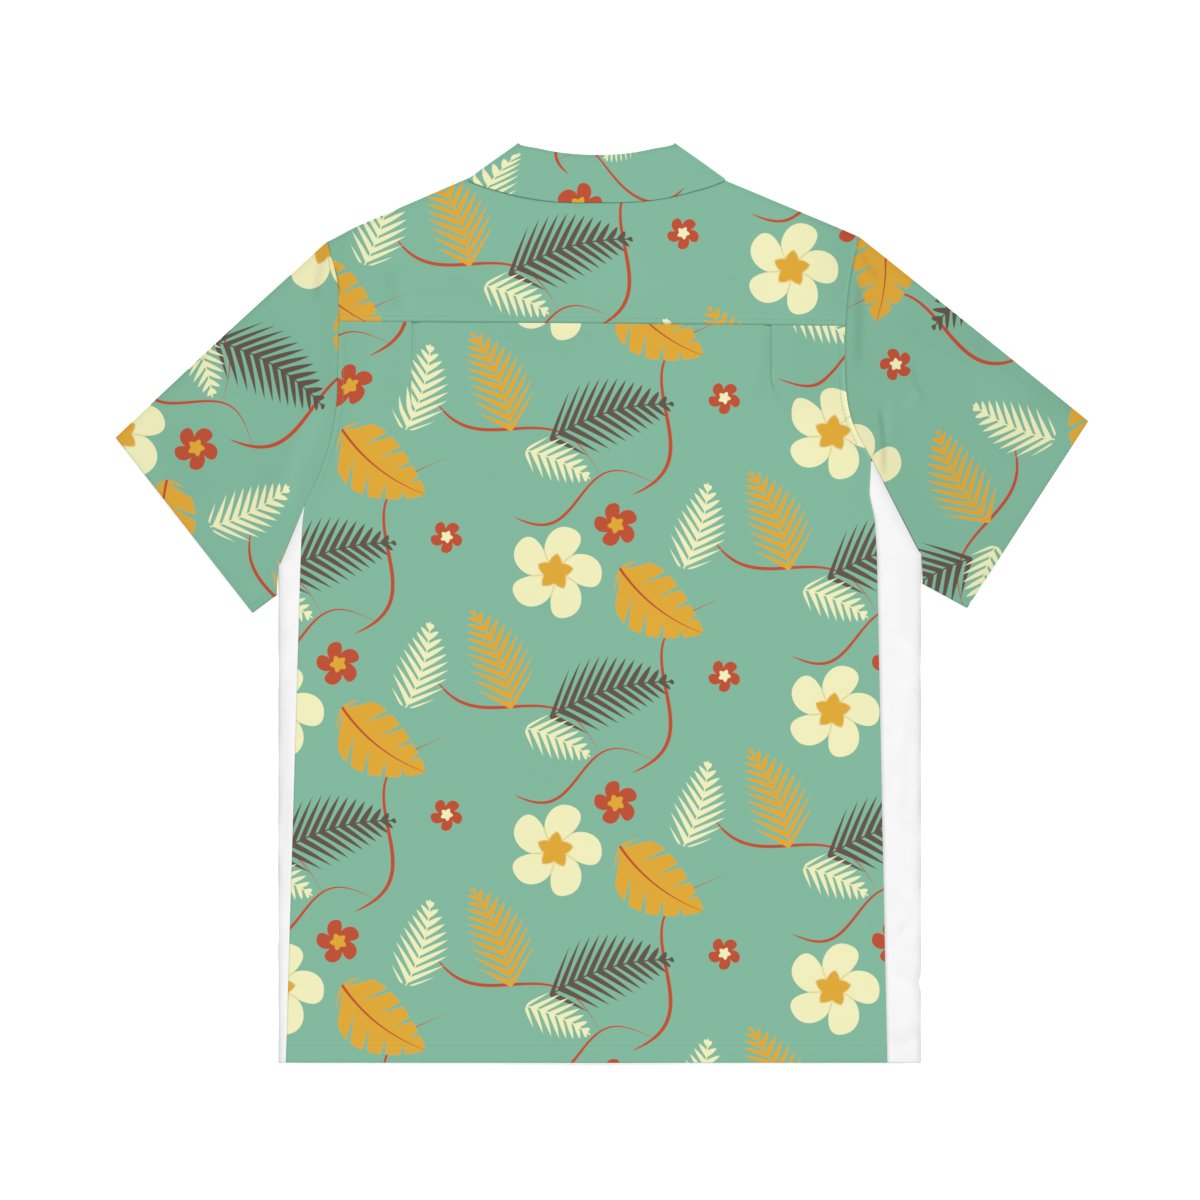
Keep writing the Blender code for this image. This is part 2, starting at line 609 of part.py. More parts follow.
def front_rows():
    """Heights of a front's rows at its inner edge, closer together round each button."""
    steps = [-DOME_FOOT, -DOME_FLAT, DOME_FLAT, DOME_FOOT]
    heights = [HEM_Y, (HEM_Y + button_heights()[-1] - DOME_FOOT) / 2]
    for button in button_heights()[::-1]:
        heights += [button + step for step in steps]
        heights.append(button + BUTTON_SPACING / 2)
    return heights


def make_front(side):
    """One front: placket, round the side fold and on to the back's side seam."""
    data = SIDES[side]
    hand, underarm = data["hand"], data["underarm_y"]
    heights = [y for y in front_rows() if y < underarm - 6.0] + [underarm]
    upper = [y for y in front_rows() if underarm + 6.0 < y < PLACKET_TOP_Y] + [V_POINT_Y, 282.0]
    neck = neck_points(collar_front_station, FRONT_NECK_SHARES, hand)
    inner = [(front_inner_x(hand, y) + hand * inner_gap(y), y) for y in heights + upper]
    inner = np.array(inner + neck.tolist())
    outer = front_outer_points(side, len(heights), len(inner))
    offsets = [0.0, 8.0, 22.0, 30.0, 45.0] if hand < 0 else [0.0, 8.0, 22.0, 30.0, 35.0, 50.0]
    grid = []
    for row, (start, end) in enumerate(zip(inner, outer)):
        lower = row < len(heights)
        grid.append(front_row(side, start, end, offsets, lower, row - len(heights) + 1))
    grid = np.array(grid)
    add_sheet("front_" + side, grid, (0.22, 0.49, 0.35),
              front_cells(grid, len(heights), len(offsets)), crossed=hand > 0)


def inner_gap(y):
    """How far the edge stands back from the roll line, where the lapel turns."""
    return FOLD_INSET / 0.9 + SEAM * 0.8 if y > V_POINT_Y - 1.0 else 0.0


def front_outer_points(side, lower_count, count):
    """Outer end of each row: the side fold below the underarm, the armhole above."""
    data = SIDES[side]
    hand = data["hand"]
    fold_x = data["fold_x"] - hand * FOLD_INSET
    seam_end = front_yoke_seam(side, hand)[0]
    x = [fold_x, *(CENTRE_X + hand * np.array(FRONT_ARMHOLE["out"][1:-1])), seam_end[0]]
    y = [data["underarm_y"] - SEAM / 2, *FRONT_ARMHOLE["y"][1:-1], seam_end[1] - SEAM / 2]
    rows = np.arange(count) - lower_count + 1
    last = count - lower_count
    marks = np.array(FRONT_ARMHOLE["row"]) * last / FRONT_ARMHOLE["row"][-1]
    marks = np.round(marks)
    points_x = np.interp(rows, marks, x) - hand * SEAM / 2 * (rows > 0)
    return np.column_stack([points_x, np.interp(rows, marks, y)])


def front_row(side, start, end, offsets, lower, above):
    """One row of a front from its inner edge outwards, and round the fold if it has one."""
    data = SIDES[side]
    hand = data["hand"]
    across = np.array([0.25, 0.5, 0.75, 1.0])
    placket = start[0] + hand * np.array(offsets)
    x = np.concatenate([placket, placket[-1] + (end[0] - placket[-1]) * across])
    level_run = offsets[-1] * (1.0 - smooth((start[1] - PLACKET_TOP_Y) / 50.0))
    width = abs(end[0] - start[0])
    share = np.clip((np.abs(x - start[0]) - level_run) / (width - level_run), 0.0, 1.0)
    y = start[1] + (0.0 if lower else 1.0) * (end[1] - start[1]) * share
    level = front_level(hand, x, y)
    fold_x = data["fold_x"] - hand * FOLD_INSET
    turns = np.radians([36.0, 72.0, 108.0, 144.0, 180.0])
    fold = fold_x + hand * FOLD_RADIUS * np.sin(turns)
    fold_z = (BACK_LEVEL + FLOOR) / 2 - FOLD_RADIUS * np.cos(turns)
    strip_y, strip = strip_points(side, start[1], lower, above)
    strip_z = back_level(strip, np.full(len(strip), strip_y))
    x = np.concatenate([x, fold, strip])
    y = np.concatenate([y, np.full(len(fold), strip_y), np.full(len(strip), strip_y)])
    return np.column_stack([x, y, np.concatenate([level, fold_z, strip_z])])


def strip_points(side, y, lower, above):
    """The unprinted strip on the back: from the side fold, or the armhole, to the seam."""
    hand = SIDES[side]["hand"]
    edge_x, edge_y = BACK_EDGE[side + "_x"], BACK_EDGE[side + "_y"]
    fold_x = SIDES[side]["fold_x"] - hand * FOLD_INSET
    if not lower:
        row = min(UNDERARM_ROW + above, ARMHOLE_ROW)
        y = edge_y[row] - (2.5 if row == ARMHOLE_ROW else 0.0)
        low = (fold_x, edge_y[UNDERARM_ROW])
        high = (edge_x[ARMHOLE_ROW], edge_y[ARMHOLE_ROW])
        share = (y - low[1]) / (high[1] - low[1])
        fold_x = low[0] + (high[0] - low[0]) * share - hand * SEAM / 2
    seam_x = np.interp(y, edge_y[:ARMHOLE_ROW + 1], edge_x[:ARMHOLE_ROW + 1]) + hand * SEAM / 2
    start = fold_x if not lower else fold_x - hand * 0.5
    return y, start + (seam_x - start) * np.array([0.0, 0.5, 1.0])


def front_cells(grid, lower_count, offset_count):
    """Squares of a front's grid: all of them below the underarm, two parts above it."""
    rows, columns = grid.shape[:2]
    cells = np.ones((rows - 1, columns - 1), dtype=bool)
    flat_columns = offset_count + 4
    cells[lower_count - 1:, flat_columns - 1:] = False
    wedge_rows = ARMHOLE_ROW - UNDERARM_ROW
    cells[lower_count - 1:lower_count - 1 + wedge_rows, columns - 3:] = True
    return cells


# ---------------------------------------------------------------- sleeves
def make_sleeve(side):
    """A sleeve pressed flat: a tube from the armhole to the cuff, open at both ends."""
    data = SIDES[side]
    top, under, ways = sleeve_armhole(side)
    cuff_high, cuff_low = sleeve_cuff(data)
    shares_top, shares_under = length_shares(top), length_shares(under)
    rows = []
    for share in SLEEVE_ROWS:
        upper = between(top, between(cuff_high, cuff_low, shares_top), np.full(len(top), share))
        lower = between(under, between(cuff_high, cuff_low, shares_under), np.full(len(under), share))
        rise = back_level(top[:, 0], top[:, 1]) - BACK_LEVEL
        own = SLEEVE_SWELL * np.sin(np.pi * shares_top) * smooth(share * 3.0)
        level = BACK_LEVEL + rise * (1.0 - share) ** 2 + np.maximum(own + fold_relief(*upper.T), 0.0)
        upper = np.column_stack([upper, level])
        lower = np.column_stack([lower, np.full(len(under), FLOOR)])
        rows.append(sleeve_ring(upper, lower, ways))
    add_sheet("sleeve_" + side, np.array(rows), (0.20, 0.46, 0.33), closed=True)


def length_shares(points):
    """Share of the whole length at each point of a line."""
    steps = np.linalg.norm(np.diff(points, axis=0), axis=1)
    total = np.concatenate([[0.0], np.cumsum(steps)])
    return total / total[-1]


def sleeve_armhole(side):
    """The armhole as the sleeve's back and front plies have it, from shoulder to underarm."""
    data = SIDES[side]
    hand = data["hand"]
    gap = hand * SEAM / 2
    notch = np.array([data["fold_x"] + hand * 0.6, data["notch_y"]])
    run = notch - np.array(data["cuff_low"])
    low_way = unit(np.array([run[1], -run[0]]))
    low_way = -low_way * np.sign(low_way[1])
    top_way = sleeve_top_way(side)
    high = shoulder_corner(side) + np.array([gap, 0.0])
    low = notch - FOLD_INSET * low_way + np.array([gap, 0.0])
    yoke_x, yoke_y = YOKE_EDGE[side + "_x"], YOKE_EDGE[side + "_y"]
    back_x, back_y = BACK_EDGE[side + "_x"], BACK_EDGE[side + "_y"]
    corner = np.array([data["fold_x"] + hand * 0.6 + gap, data["underarm_y"] + 1.0])
    chain = [(yoke_x[1], yoke_y[1]), *zip(back_x[:ARMHOLE_ROW - 1:-1], back_y[:ARMHOLE_ROW - 1:-1])]
    back = np.array([high] + [(x + gap, y) for x, y in chain] + [corner, low])
    seam_end = front_yoke_seam(side, hand)[0]
    front = [(CENTRE_X + hand * out + gap, y) for out, y in
             zip(FRONT_ARMHOLE["out"][1:-1], FRONT_ARMHOLE["y"][1:-1])]
    under = np.array([high, seam_end + (gap, 0.0)] + front[::-1] + [corner, low])
    return back, under, (top_way, low_way)


def sleeve_cuff(data):
    """Both ends of the cuff line, moved in by what the folds take."""
    high, low = np.array(data["cuff_top"]), np.array(data["cuff_low"])
    way = unit(low - high)
    return high + FOLD_INSET * way, low - FOLD_INSET * way


def sleeve_ring(upper, lower, ways):
    """Close two plies into one ring with a round fold at each edge."""
    turns = np.radians([45.0, 90.0, 135.0])

    def fold(start, end, way):
        middle, radius = (start + end) / 2, (start[2] - end[2]) / 2
        flat = middle[:2] + np.sin(turns)[:, None] * abs(radius) * way
        height = middle[2] + radius * np.cos(turns)
        return np.column_stack([flat, height])

    low_fold = fold(upper[-1], lower[-1], ways[1])
    high_fold = fold(lower[0], upper[0], ways[0])
    return np.concatenate([upper, low_fold, lower[::-1], high_fold])


# ---------------------------------------------------------------- buttons
def make_button(name, y):
    """A turned button lying face down: rounded rim, shallow dish, flat back."""
    profile = np.array([[3.2, 0.45], [4.1, 0.0], [4.9, 0.0], [BUTTON_RADIUS, 0.6],
                        [BUTTON_RADIUS, 1.2], [5.1, BUTTON_HEIGHT]])
    turns = np.linspace(0.0, 2.0 * np.pi, 16, endpoint=False)
    ring = np.stack([np.cos(turns), np.sin(turns)], axis=1)
    points = [np.column_stack([ring * radius, np.full(len(turns), z)]) for radius, z in profile]
    points = np.concatenate(points) + np.array([CENTRE_X, y, 0.0])
    count, faces = len(turns), []
    for row in range(len(profile) - 1):
        for k in range(count):
            after = (k + 1) % count
            faces.append([row * count + k, row * count + after,
                          (row + 1) * count + after, (row + 1) * count + k])
    faces.append(list(range(count))[::-1])
    faces.append([(len(profile) - 1) * count + k for k in range(count)])
    add_object(name, points, faces, make_material(name, (0.86, 0.84, 0.78), 0.3))


def main():
    """Clear the scene and sew the shirt together."""
    for item in list(bpy.data.objects):
        bpy.data.objects.remove(item, do_unlink=True)
    make_back()
    make_yoke()
    for side in SIDES:
        make_front(side)
        make_sleeve(side)
        make_lapel("lapel_" + side, SIDES[side]["hand"])
    make_collar()
    for number, y in enumerate(button_heights(), start=1):
        make_button("button_%d" % number, y)


main()
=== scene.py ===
"""The looks of a camp-collar hawaiian shirt that lies face down and flat, with its back up.

Every cut piece is a thin shell on the form of its solid: a grid of points in millimetres,
worked out from the pattern's own sizes, with pressed folds, seams and soft creases added
as low relief. The print is drawn by one material from each piece's flat-cut coordinates.
"""

import bpy
import numpy as np
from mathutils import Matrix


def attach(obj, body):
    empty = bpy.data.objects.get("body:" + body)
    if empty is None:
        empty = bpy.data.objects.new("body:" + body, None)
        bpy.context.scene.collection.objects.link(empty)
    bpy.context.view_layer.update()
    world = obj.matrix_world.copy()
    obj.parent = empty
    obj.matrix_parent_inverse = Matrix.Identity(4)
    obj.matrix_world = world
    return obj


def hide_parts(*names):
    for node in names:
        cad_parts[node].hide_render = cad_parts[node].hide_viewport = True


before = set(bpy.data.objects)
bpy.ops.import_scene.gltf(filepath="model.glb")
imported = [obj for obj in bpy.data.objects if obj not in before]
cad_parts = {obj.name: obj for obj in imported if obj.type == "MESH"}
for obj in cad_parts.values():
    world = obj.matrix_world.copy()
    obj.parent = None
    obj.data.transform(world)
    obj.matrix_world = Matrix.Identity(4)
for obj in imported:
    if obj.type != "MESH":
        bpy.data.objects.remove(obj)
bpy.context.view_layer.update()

# ---------------------------------------------------------------- sizes, in millimetres
MM = 0.001
WALL = 1.0                    # thickness of the solids that carry the cloth
SHELL = 0.6                   # thickness of shown cloth, from the solid's outer face in
BACK_SHELL = 0.4              # and of the back, whose pleats lie closer together
SEAM = 0.3
JOIN = 0.015                  # half the gap between pieces that are sewn edge to edge
PLY = WALL + SEAM
FOLD_RADIUS = PLY / 2
FOLD_INSET = FOLD_RADIUS + WALL / 2
FLOOR = WALL / 2
BACK_LEVEL = FLOOR + PLY

HEM_Y = -390.8
HEM_DEPTH = 15.0
CUFF_DEPTH = 20.0
WELT_WIDTH = 5.4              # from a seam to the far side of its topstitching
CENTRE_X = -4.5
PLACKET_HALF = 15.0
PLACKET_WIDTH = 30.0
V_POINT_Y = 250.0
PLACKET_TOP_Y = 228.0

BUTTON_COUNT = 6
BUTTON_TOP_Y = 212.0
BUTTON_SPACING = 102.0
BUTTON_RADIUS = 5.75
BUTTON_HEIGHT = 1.8
BUTTONHOLE_HALF = 8.4
HOLE_OFFSET = 1.15            # of each of a button's four holes, both ways
HOLE_RADIUS = 0.62
HOLE_DEPTH = 0.95
DOME_FLAT = 7.0
DOME_FOOT = 15.0
DOME_RISE = BUTTON_HEIGHT + SEAM + WALL / 2 - FLOOR

SWELL_BROAD = 1.0
SWELL_BROAD_HALF = 273.0
SWELL_MIDDLE = 2.6
SWELL_MIDDLE_HALF = 110.0

COLLAR_FOLD_Y = 380.6
COLLAR_FOLD_RISE = 10.4
COLLAR_HALF = 66.2
COLLAR_BACK_ANGLE = -90.0
COLLAR_SIDE_ANGLE = -35.5
COLLAR_FRONT_ANGLE = -24.7
COLLAR_LEAF_BACK = 39.4
COLLAR_LEAF_SIDE = 52.0
COLLAR_LEAF_TIP = 58.0
COLLAR_STAND_BACK = 28.6
COLLAR_STAND_SIDE = 28.0
COLLAR_STAND_TIP = 4.5
COLLAR_TIP_TURN = 10.0
COLLAR_LOW = FLOOR + PLY / 2
COLLAR_HIGH = BACK_LEVEL + 3 * PLY / 2
FRONT_NECK_END = 0.37         # where the front's neck seam ends, as the collar's share
GORGE = 0.537
LAPEL_WIDTH = 50.0
LAPEL_START = 0.549
LAPEL_END = 0.955
LAPEL_TURN = 12.0
LIFT_MARGIN = 15.0
LIFT_RUN = 70.0

YOKE_FRONT_DEPTH = 22.0
YOKE_FRONT_LEAN = 24.2
SHOULDER_BOW = {"left": 2.0, "right": 0.3}
SHOULDER_COLUMNS = 45
PLEAT_DEPTH = 9.0
PLEAT_LENGTH = 44.0
PLEAT_FADE = 34.0
PLEAT_RUN = 17.0
PLEAT_LEAD = -3.0
PLEAT_PLY = 0.55              # step between the plies of a pressed pleat
PLEAT_TAKE = 12.0             # how far the print is shifted across the pleat at its top
PLEATS = [(-162.0, 1.0), (144.0, -1.0)]
SLEEVE_SWELL = 1.2
SLEEVE_LENGTH = 245.0
STITCH_DEPTH = 0.28           # how far a stitched line is drawn in on the underside
MARGIN = 12.0                 # how far the bare margin reaches round onto the front
STRIP_RIM = (4.6, 0.23)       # width and depth of the shade at the bare strips' fold
FULLY_PRINTED = 50.0          # any distance well inside the print's edge
YOKE_PRINT_SHIFT = (35.0, 96.0)
ARMHOLE_STITCHING = 5.2       # from the armhole's edge in
FOLD_TURNS = np.radians(np.linspace(18.0, 162.0, 9))

# The back panel's edges from the hem up: side seam, then armhole, to the yoke.
BACK_EDGE = {
    "left": np.array([
        (-268.6, HEM_Y), (-266.0, -302.0), (-263.0, -200.0), (-260.1, -101.0), (-258.0, -29.4),
        (-256.2, 32.0), (-255.3, 55.0), (-254.4, 69.0), (-252.5, 83.1), (-239.7, 111.1),
        (-230.7, 139.2), (-227.4, 155.3), (-224.4, 205.5), (-223.9, 239.0)]),
    "right": np.array([
        (242.3, HEM_Y), (240.5, -302.0), (238.4, -199.0), (236.4, -100.0), (234.9, -27.0),
        (233.5, 42.0), (231.6, 71.2), (227.0, 92.0), (228.7, 122.5), (220.2, 137.5),
        (213.5, 151.5), (209.5, 166.0), (206.6, 195.0), (206.6, 235.2)]),
}
UNDERARM_ROW = 5
ARMHOLE_ROW = 8

# The same armholes going on up the yoke to the shoulder fold.
YOKE_EDGE = {
    "left": np.array([(-223.9, 239.0), (-224.4, 269.7), (-234.2, 306.6)]),
    "right": np.array([(206.6, 235.2), (210.0, 272.6), (218.9, 310.9)]),
}

# Each side's outline, how far the sleeve's upper edge bows out, where and how deep the side
# fold is caught in, and the share of its lightness that its sleeve keeps, as painted shade.
SIDES = {
    "left": {"hand": -1.0, "fold_x": -275.0, "underarm_y": 32.0, "notch_y": 7.0,
             "cuff_top": (-413.4, 140.5), "cuff_low": (-296.9, -8.7), "bow": 0.9,
             "nick": (-283.0, 0.8), "painted_shade_and_dye": 0.95},
    "right": {"hand": 1.0, "fold_x": 271.4, "underarm_y": 42.0, "notch_y": 16.3,
              "cuff_top": (413.4, 154.5), "cuff_low": (310.3, -4.5), "bow": 0.3,
              "nick": (-323.0, 1.7), "painted_shade_and_dye": 0.93},
}

# Front armholes from the underarm up: distance out from the centre, and height.
FRONT_ARMHOLE = np.array([(240.0, 76.0), (218.0, 122.0), (209.0, 182.0), (209.5, 240.0)])

# Soft creases of the body seen from above: both ends, sideways bow, half width and height.
BACK_CREASES = [
    (-237, 303, -246, 256, 2, 9, -0.9), (219.3, 308, 229, 282, 1, 6, -0.7),
]

# Painted shade and painted light: soft darker and lighter places, as shares of the cloth's own
# lightness, on the back and the yoke first, then on the sleeves and on the bare strips.
BODY_SHADES = [
    (-180, 283, -173, 247, 2, 11, -0.05), (-220, 330, -210, 252, 3, 52, -0.035),
    (196, 350, 208, 246, -2, 56, -0.045), (166, 236, 184, 168, 3, 40, -0.045),
    (212, 222, 219, 136, -2, 13, -0.06), (-214, 236, -200, 160, 2, 14, -0.012),
    (0, 210, 10, 120, 8, 80, 0.012), (141, 226, 137, 178, 0.5, 7, -0.055),
    (60, 370, 66, 355, 0, 9, -0.03), (205.2, 196, 224.5, 124, 5.6, 2.6, 0.08),
]
SLEEVE_SHADES = [
    (-233.6, 302.1, -242.7, 258.2, 2, 5, -0.12), (-224.5, 300, -221, 262, 1, 3, -0.04),
    (-236, 168, -269, 80, 4, 13, 0.06), (-281, 116, -288, 72, 2, 11, -0.03),
    (-299, 236, -231, 172, 3, 34, -0.035), (-333, 184, -299, 146, 4, 26, 0.025),
    (-228, 292, -231, 170, 1, 9, -0.02), (-300, 20, -290, 6, 0, 9, 0.03),
    (-372, 150, -340, 90, 4, 24, -0.015), (217.7, 271, 217, 204, -1, 7, -0.13),
    (219.6, 299, 234, 276, 1, 5, -0.09), (236, 162, 239, 110, -1.5, 3.2, -0.24),
    (245, 172, 241, 138, 1, 7, 0.07), (263.5, 204, 274.6, 172, 3, 4.5, -0.08),
    (268, 180, 257, 163, 1, 8, 0.05), (257, 240, 330, 214, 4, 22, -0.035),
    (319, 186, 341, 168, 2, 15, 0.03), (372, 170, 342, 120, 4, 24, -0.02),
    (262, 60, 286, 20, 3, 14, 0.02), (398, 160, 366, 178, 1, 12, -0.06),
    (300, 236, 376, 178, 3, 7, -0.05),
]
STRIP_SHADES = [
    (250.7, -281.5, 264.8, -262.9, 1, 3.5, -0.04), (262, -275, 254, -284, 0.5, 2.6, 0.025),
    (262, 40, 262, -30, 3, 13, -0.02), (246, -372, 270, -362, 0.5, 11, -0.05),
    (246, -392, 270, -384, 0, 9, -0.025), (268, -312, 266, -330, 1, 2.5, -0.04),
    (-270, 5, -267, -40, 1, 4.5, -0.02), (-268, -70, -267, -240, 0.5, 7, -0.045),
    (-270, -300, -271, -340, 0.3, 3, 0.02), (262, -95, 258, -180, 2, 6, -0.012),
]

# Creases of the bare strips, and of the fronts, which show from below.
STRIP_CREASES = [
    (246, -250, 268, -268, 2, 4, -0.5), (244, -283, 262, -262, -1, 3.5, 0.4),
    (247, -315, 269, -324, 1.5, 4.5, -0.55), (250, -362, 268, -352, -2, 4, 0.45),
    (262, -60, 252, -190, 3, 6, -0.4), (-262, -130, -272, -210, 1, 4, -0.45),
    (-266, -330, -273, -352, 1, 4, 0.4), (243, -180, 262, -194, 1.5, 5, -0.4),
    (249, 20, 262, -40, 2, 6, -0.35),
]
FRONT_CREASES = [
    (-210, 60, -150, 20, 6, 10, 0.5), (-120, -250, -70, -215, -5, 9, 0.4),
    (190, -20, 150, 30, 5, 11, 0.45), (92, 140, 150, 170, -4, 9, 0.35),
    (-232, -120, -205, -40, 5, 8, 0.4), (226, -290, 196, -240, -6, 9, 0.4),
]


# ---------------------------------------------------------------- small helpers
def smooth(value):
    """Zero below 0, one above 1, an S-curve between."""
    value = np.clip(value, 0.0, 1.0)
    return value * value * (3.0 - 2.0 * value)


def bell(distance, width):
    """One at no distance, dying away to both sides over about the width."""
    return np.exp(-((distance / width) ** 2))


def along_line(start, end, share):
    """A number at the given share of the way from start to end."""
    return start * (1.0 - share) + end * share


def between(start, end, share):
    """Points at the given shares of the way from start to end."""
    share = np.asarray(share, dtype=float)[..., None]
    return along_line(np.asarray(start), np.asarray(end), share)


def unit(vector):
    """The same direction with length one."""
    vector = np.asarray(vector, dtype=float)
    return vector / np.linalg.norm(vector)


def quarter(vector):
    """The vector turned a quarter to the left."""
    return np.array([-vector[1], vector[0]])


def heading(degrees):
    """Unit vector in the XY plane that points at the given angle."""
    angle = np.radians(degrees)
    return np.array([np.cos(angle), np.sin(angle)])


def upright(vector):
    """Unit vector at right angles to the given one, whichever of the two points up."""
    way = unit(quarter(vector))
    return way * np.sign(way[1])


def on_side(point, hand):
    """A point given for the right half, measured out from the centre, on either side."""
    return point * (hand, 1.0) + (CENTRE_X, 0.0)


def points_at(x, y, z):
    """A line of points, any of whose coordinates may be one number for all."""
    return np.column_stack(np.broadcast_arrays(x, y, z))


def lengths(points):
    """Distance along a line of points, from its first."""
    steps = np.linalg.norm(np.diff(points, axis=0), axis=1)
    return np.concatenate([[0.0], np.cumsum(steps)])


def straight_runs(points, shares):
    """Straight runs from point to point, read at shares of their length."""
    marks = lengths(points)
    wanted = np.asarray(shares, dtype=float) * marks[-1]
    return np.column_stack([np.interp(wanted, marks, column) for column in points.T])


def curve(points, shares):
    """Smooth line through points, read at shares of its length.

    Between two neighbours it is the cubic that meets both with the slopes that the
    points on either side of them give.
    """
    points = np.asarray(points, dtype=float)
    marks = lengths(points)
    slopes = np.gradient(points, marks, axis=0)
    wanted = np.asarray(shares, dtype=float) * marks[-1]
    low = np.clip(np.searchsorted(marks, wanted, side="right") - 1, 0, len(marks) - 2)
    gap = (marks[low + 1] - marks[low])[:, None]
    t = (wanted - marks[low])[:, None] / gap
    rise = points[low + 1] - points[low]
    bend = (slopes[low] * gap - rise) * (1.0 - t) - (slopes[low + 1] * gap - rise) * t
    return points[low] + rise * t + t * (1.0 - t) * bend


def spaced(length, step, fine=()):
    """Shares of a length about one step apart, with closer ones round each fine place.

    Each fine place is its distance along, how far it reaches to both sides and its step.
    """
    places = np.linspace(0.0, length, max(int(round(length / step)), 1) + 1)
    for at, reach, near in fine:
        close = np.arange(at - reach, at + reach + near / 2, near)
        close = close[(close > near / 2) & (close < length - near / 2)]
        away = (np.abs(places - at) > reach + near / 2) | (places == 0.0) | (places == length)
        places = np.concatenate([places[away], close])
    return np.unique(places) / length


def read(table, marks):
    """Rows of a table read at places between its rows."""
    table = np.asarray(table, dtype=float)
    return np.stack([np.interp(marks, range(len(table)), column) for column in table.T], axis=1)


def uneven(x, y, wavelength, seed):
    """Soft unevenness about -1 to 1: a sum of waves that run in unlike directions."""
    draw = np.random.default_rng(seed)
    total = np.zeros(np.broadcast(x, y).shape)
    for _ in range(6):
        angle, phase = draw.uniform(0.0, 2.0 * np.pi, 2)
        pace = 2.0 * np.pi / (wavelength * draw.uniform(0.7, 1.6))
        total = total + np.sin((x * np.cos(angle) + y * np.sin(angle)) * pace + phase)
    return total / 3.0


def creases(table, x, y):
    """Height of the creases: a rounded ridge or trough along each short bowed line. With a table of
    shades, the same bands give painted shade and painted light instead.
    """
    total = np.zeros(np.broadcast(x, y).shape)
    for x0, y0, x1, y1, bow, half_width, height in table:
        run = np.array([x1 - x0, y1 - y0])
        length = np.linalg.norm(run)
        along = ((x - x0) * run[0] + (y - y0) * run[1]) / length ** 2
        aside = ((x - x0) * run[1] - (y - y0) * run[0]) / length
        aside = aside - bow * 4.0 * along * (1.0 - along)
        ends = smooth(along / 0.35 + 0.5) * smooth((1.0 - along) / 0.35 + 0.5)
        total = total + height * ends * (1.0 - smooth(np.abs(aside) / half_width))
    return total


def rim(distance, width, depth):
    """Painted shade where cloth rounds off at an edge: how much darker it is made, as a share of
    its lightness.
    """
    near = np.maximum(distance, 0.0)
    return -depth * (0.55 * bell(near, width) + 0.45 * bell(near, width * 0.35))


def welt(distance, width, height):
    """Cloth doubled along an edge: raised up to a stitched line, where it is drawn in.

    It is a band of the given height from the edge to the width, with a narrow trough
    along the stitching at its inner side.
    """
    band = height * smooth(distance / 0.8) * (1.0 - smooth((distance - width) / 2.2))
    stitched = -1.1 * height * bell(distance - width + 0.8, 0.9)
    return np.where(distance > -1.0, band + stitched, 0.0)


def puckers(along, distance, reach, height, seed):
    """Small ripples across a line of stitching that die away with distance from it."""
    draw = np.random.default_rng(seed)
    total = np.zeros(np.broadcast(along, distance).shape)
    for _ in range(4):
        pace = 2.0 * np.pi / draw.uniform(9.0, 26.0)
        total = total + np.sin(along * pace + draw.uniform(0.0, 2.0 * np.pi))
    return height * total / 2.5 * bell(np.asarray(distance), reach)


# Shares across a front and its bare strip, with closer ones at the placket's stitching
# and at the seam. Up from a hem, rows lie closer at its stitching and at its edge.
FRONT_SHARES = spaced(264.0, 4.4, [(PLACKET_WIDTH, 3.5, 0.9), (3.0, 2.0, 1.0)])
STRIP_SHARES = spaced(20.0, 2.2, [(1.6, 1.5, 0.5)])
HEM_FINE = [(HEM_DEPTH, 3.6, 0.9), (1.5, 1.5, 0.7)]


# ---------------------------------------------------------------- materials
LIGHT = 1.10                  # how much brighter the studio shows a surface than it is


def linear(red, green, blue):
    """A colour given as the eye sees it, 0 to 255, as what the surface must reflect."""
    seen = np.array([red, green, blue]) / 255.0
    reflect = np.where(seen <= 0.04045, seen / 12.92, ((seen + 0.055) / 1.055) ** 2.4)
    return (*(reflect / LIGHT), 1.0)


def step(operation, swapped=False):
    """A method that works out an arithmetic sign with one Math node."""
    def method(self, other):
        pair = (other, self) if swapped else (self, other)
        return self.graph.math(operation, *pair)
    return method


class Value:
    """A node's output; arithmetic on it adds the Math nodes that work it out."""

    __add__ = __radd__ = step("ADD")
    __mul__ = __rmul__ = step("MULTIPLY")
    __sub__ = step("SUBTRACT")
    __rsub__ = step("SUBTRACT", swapped=True)
    __truediv__ = step("DIVIDE")
    __pow__ = step("POWER")
    at_least = step("MAXIMUM")

    def __init__(self, graph, socket):
        self.graph = graph
        self.socket = socket

    def __abs__(self):
        return self.graph.math("ABSOLUTE", self)

    def rounded(self):
        """The nearest whole number."""
        return self.graph.math("ROUND", self)

    def off_whole(self):
        """How far it is from the nearest whole number."""
        return abs(self - self.rounded())

    def inside(self, edge):
        """One where it is positive, with a soft edge."""
        return self.graph.math("DIVIDE", self, edge, clamp=True)


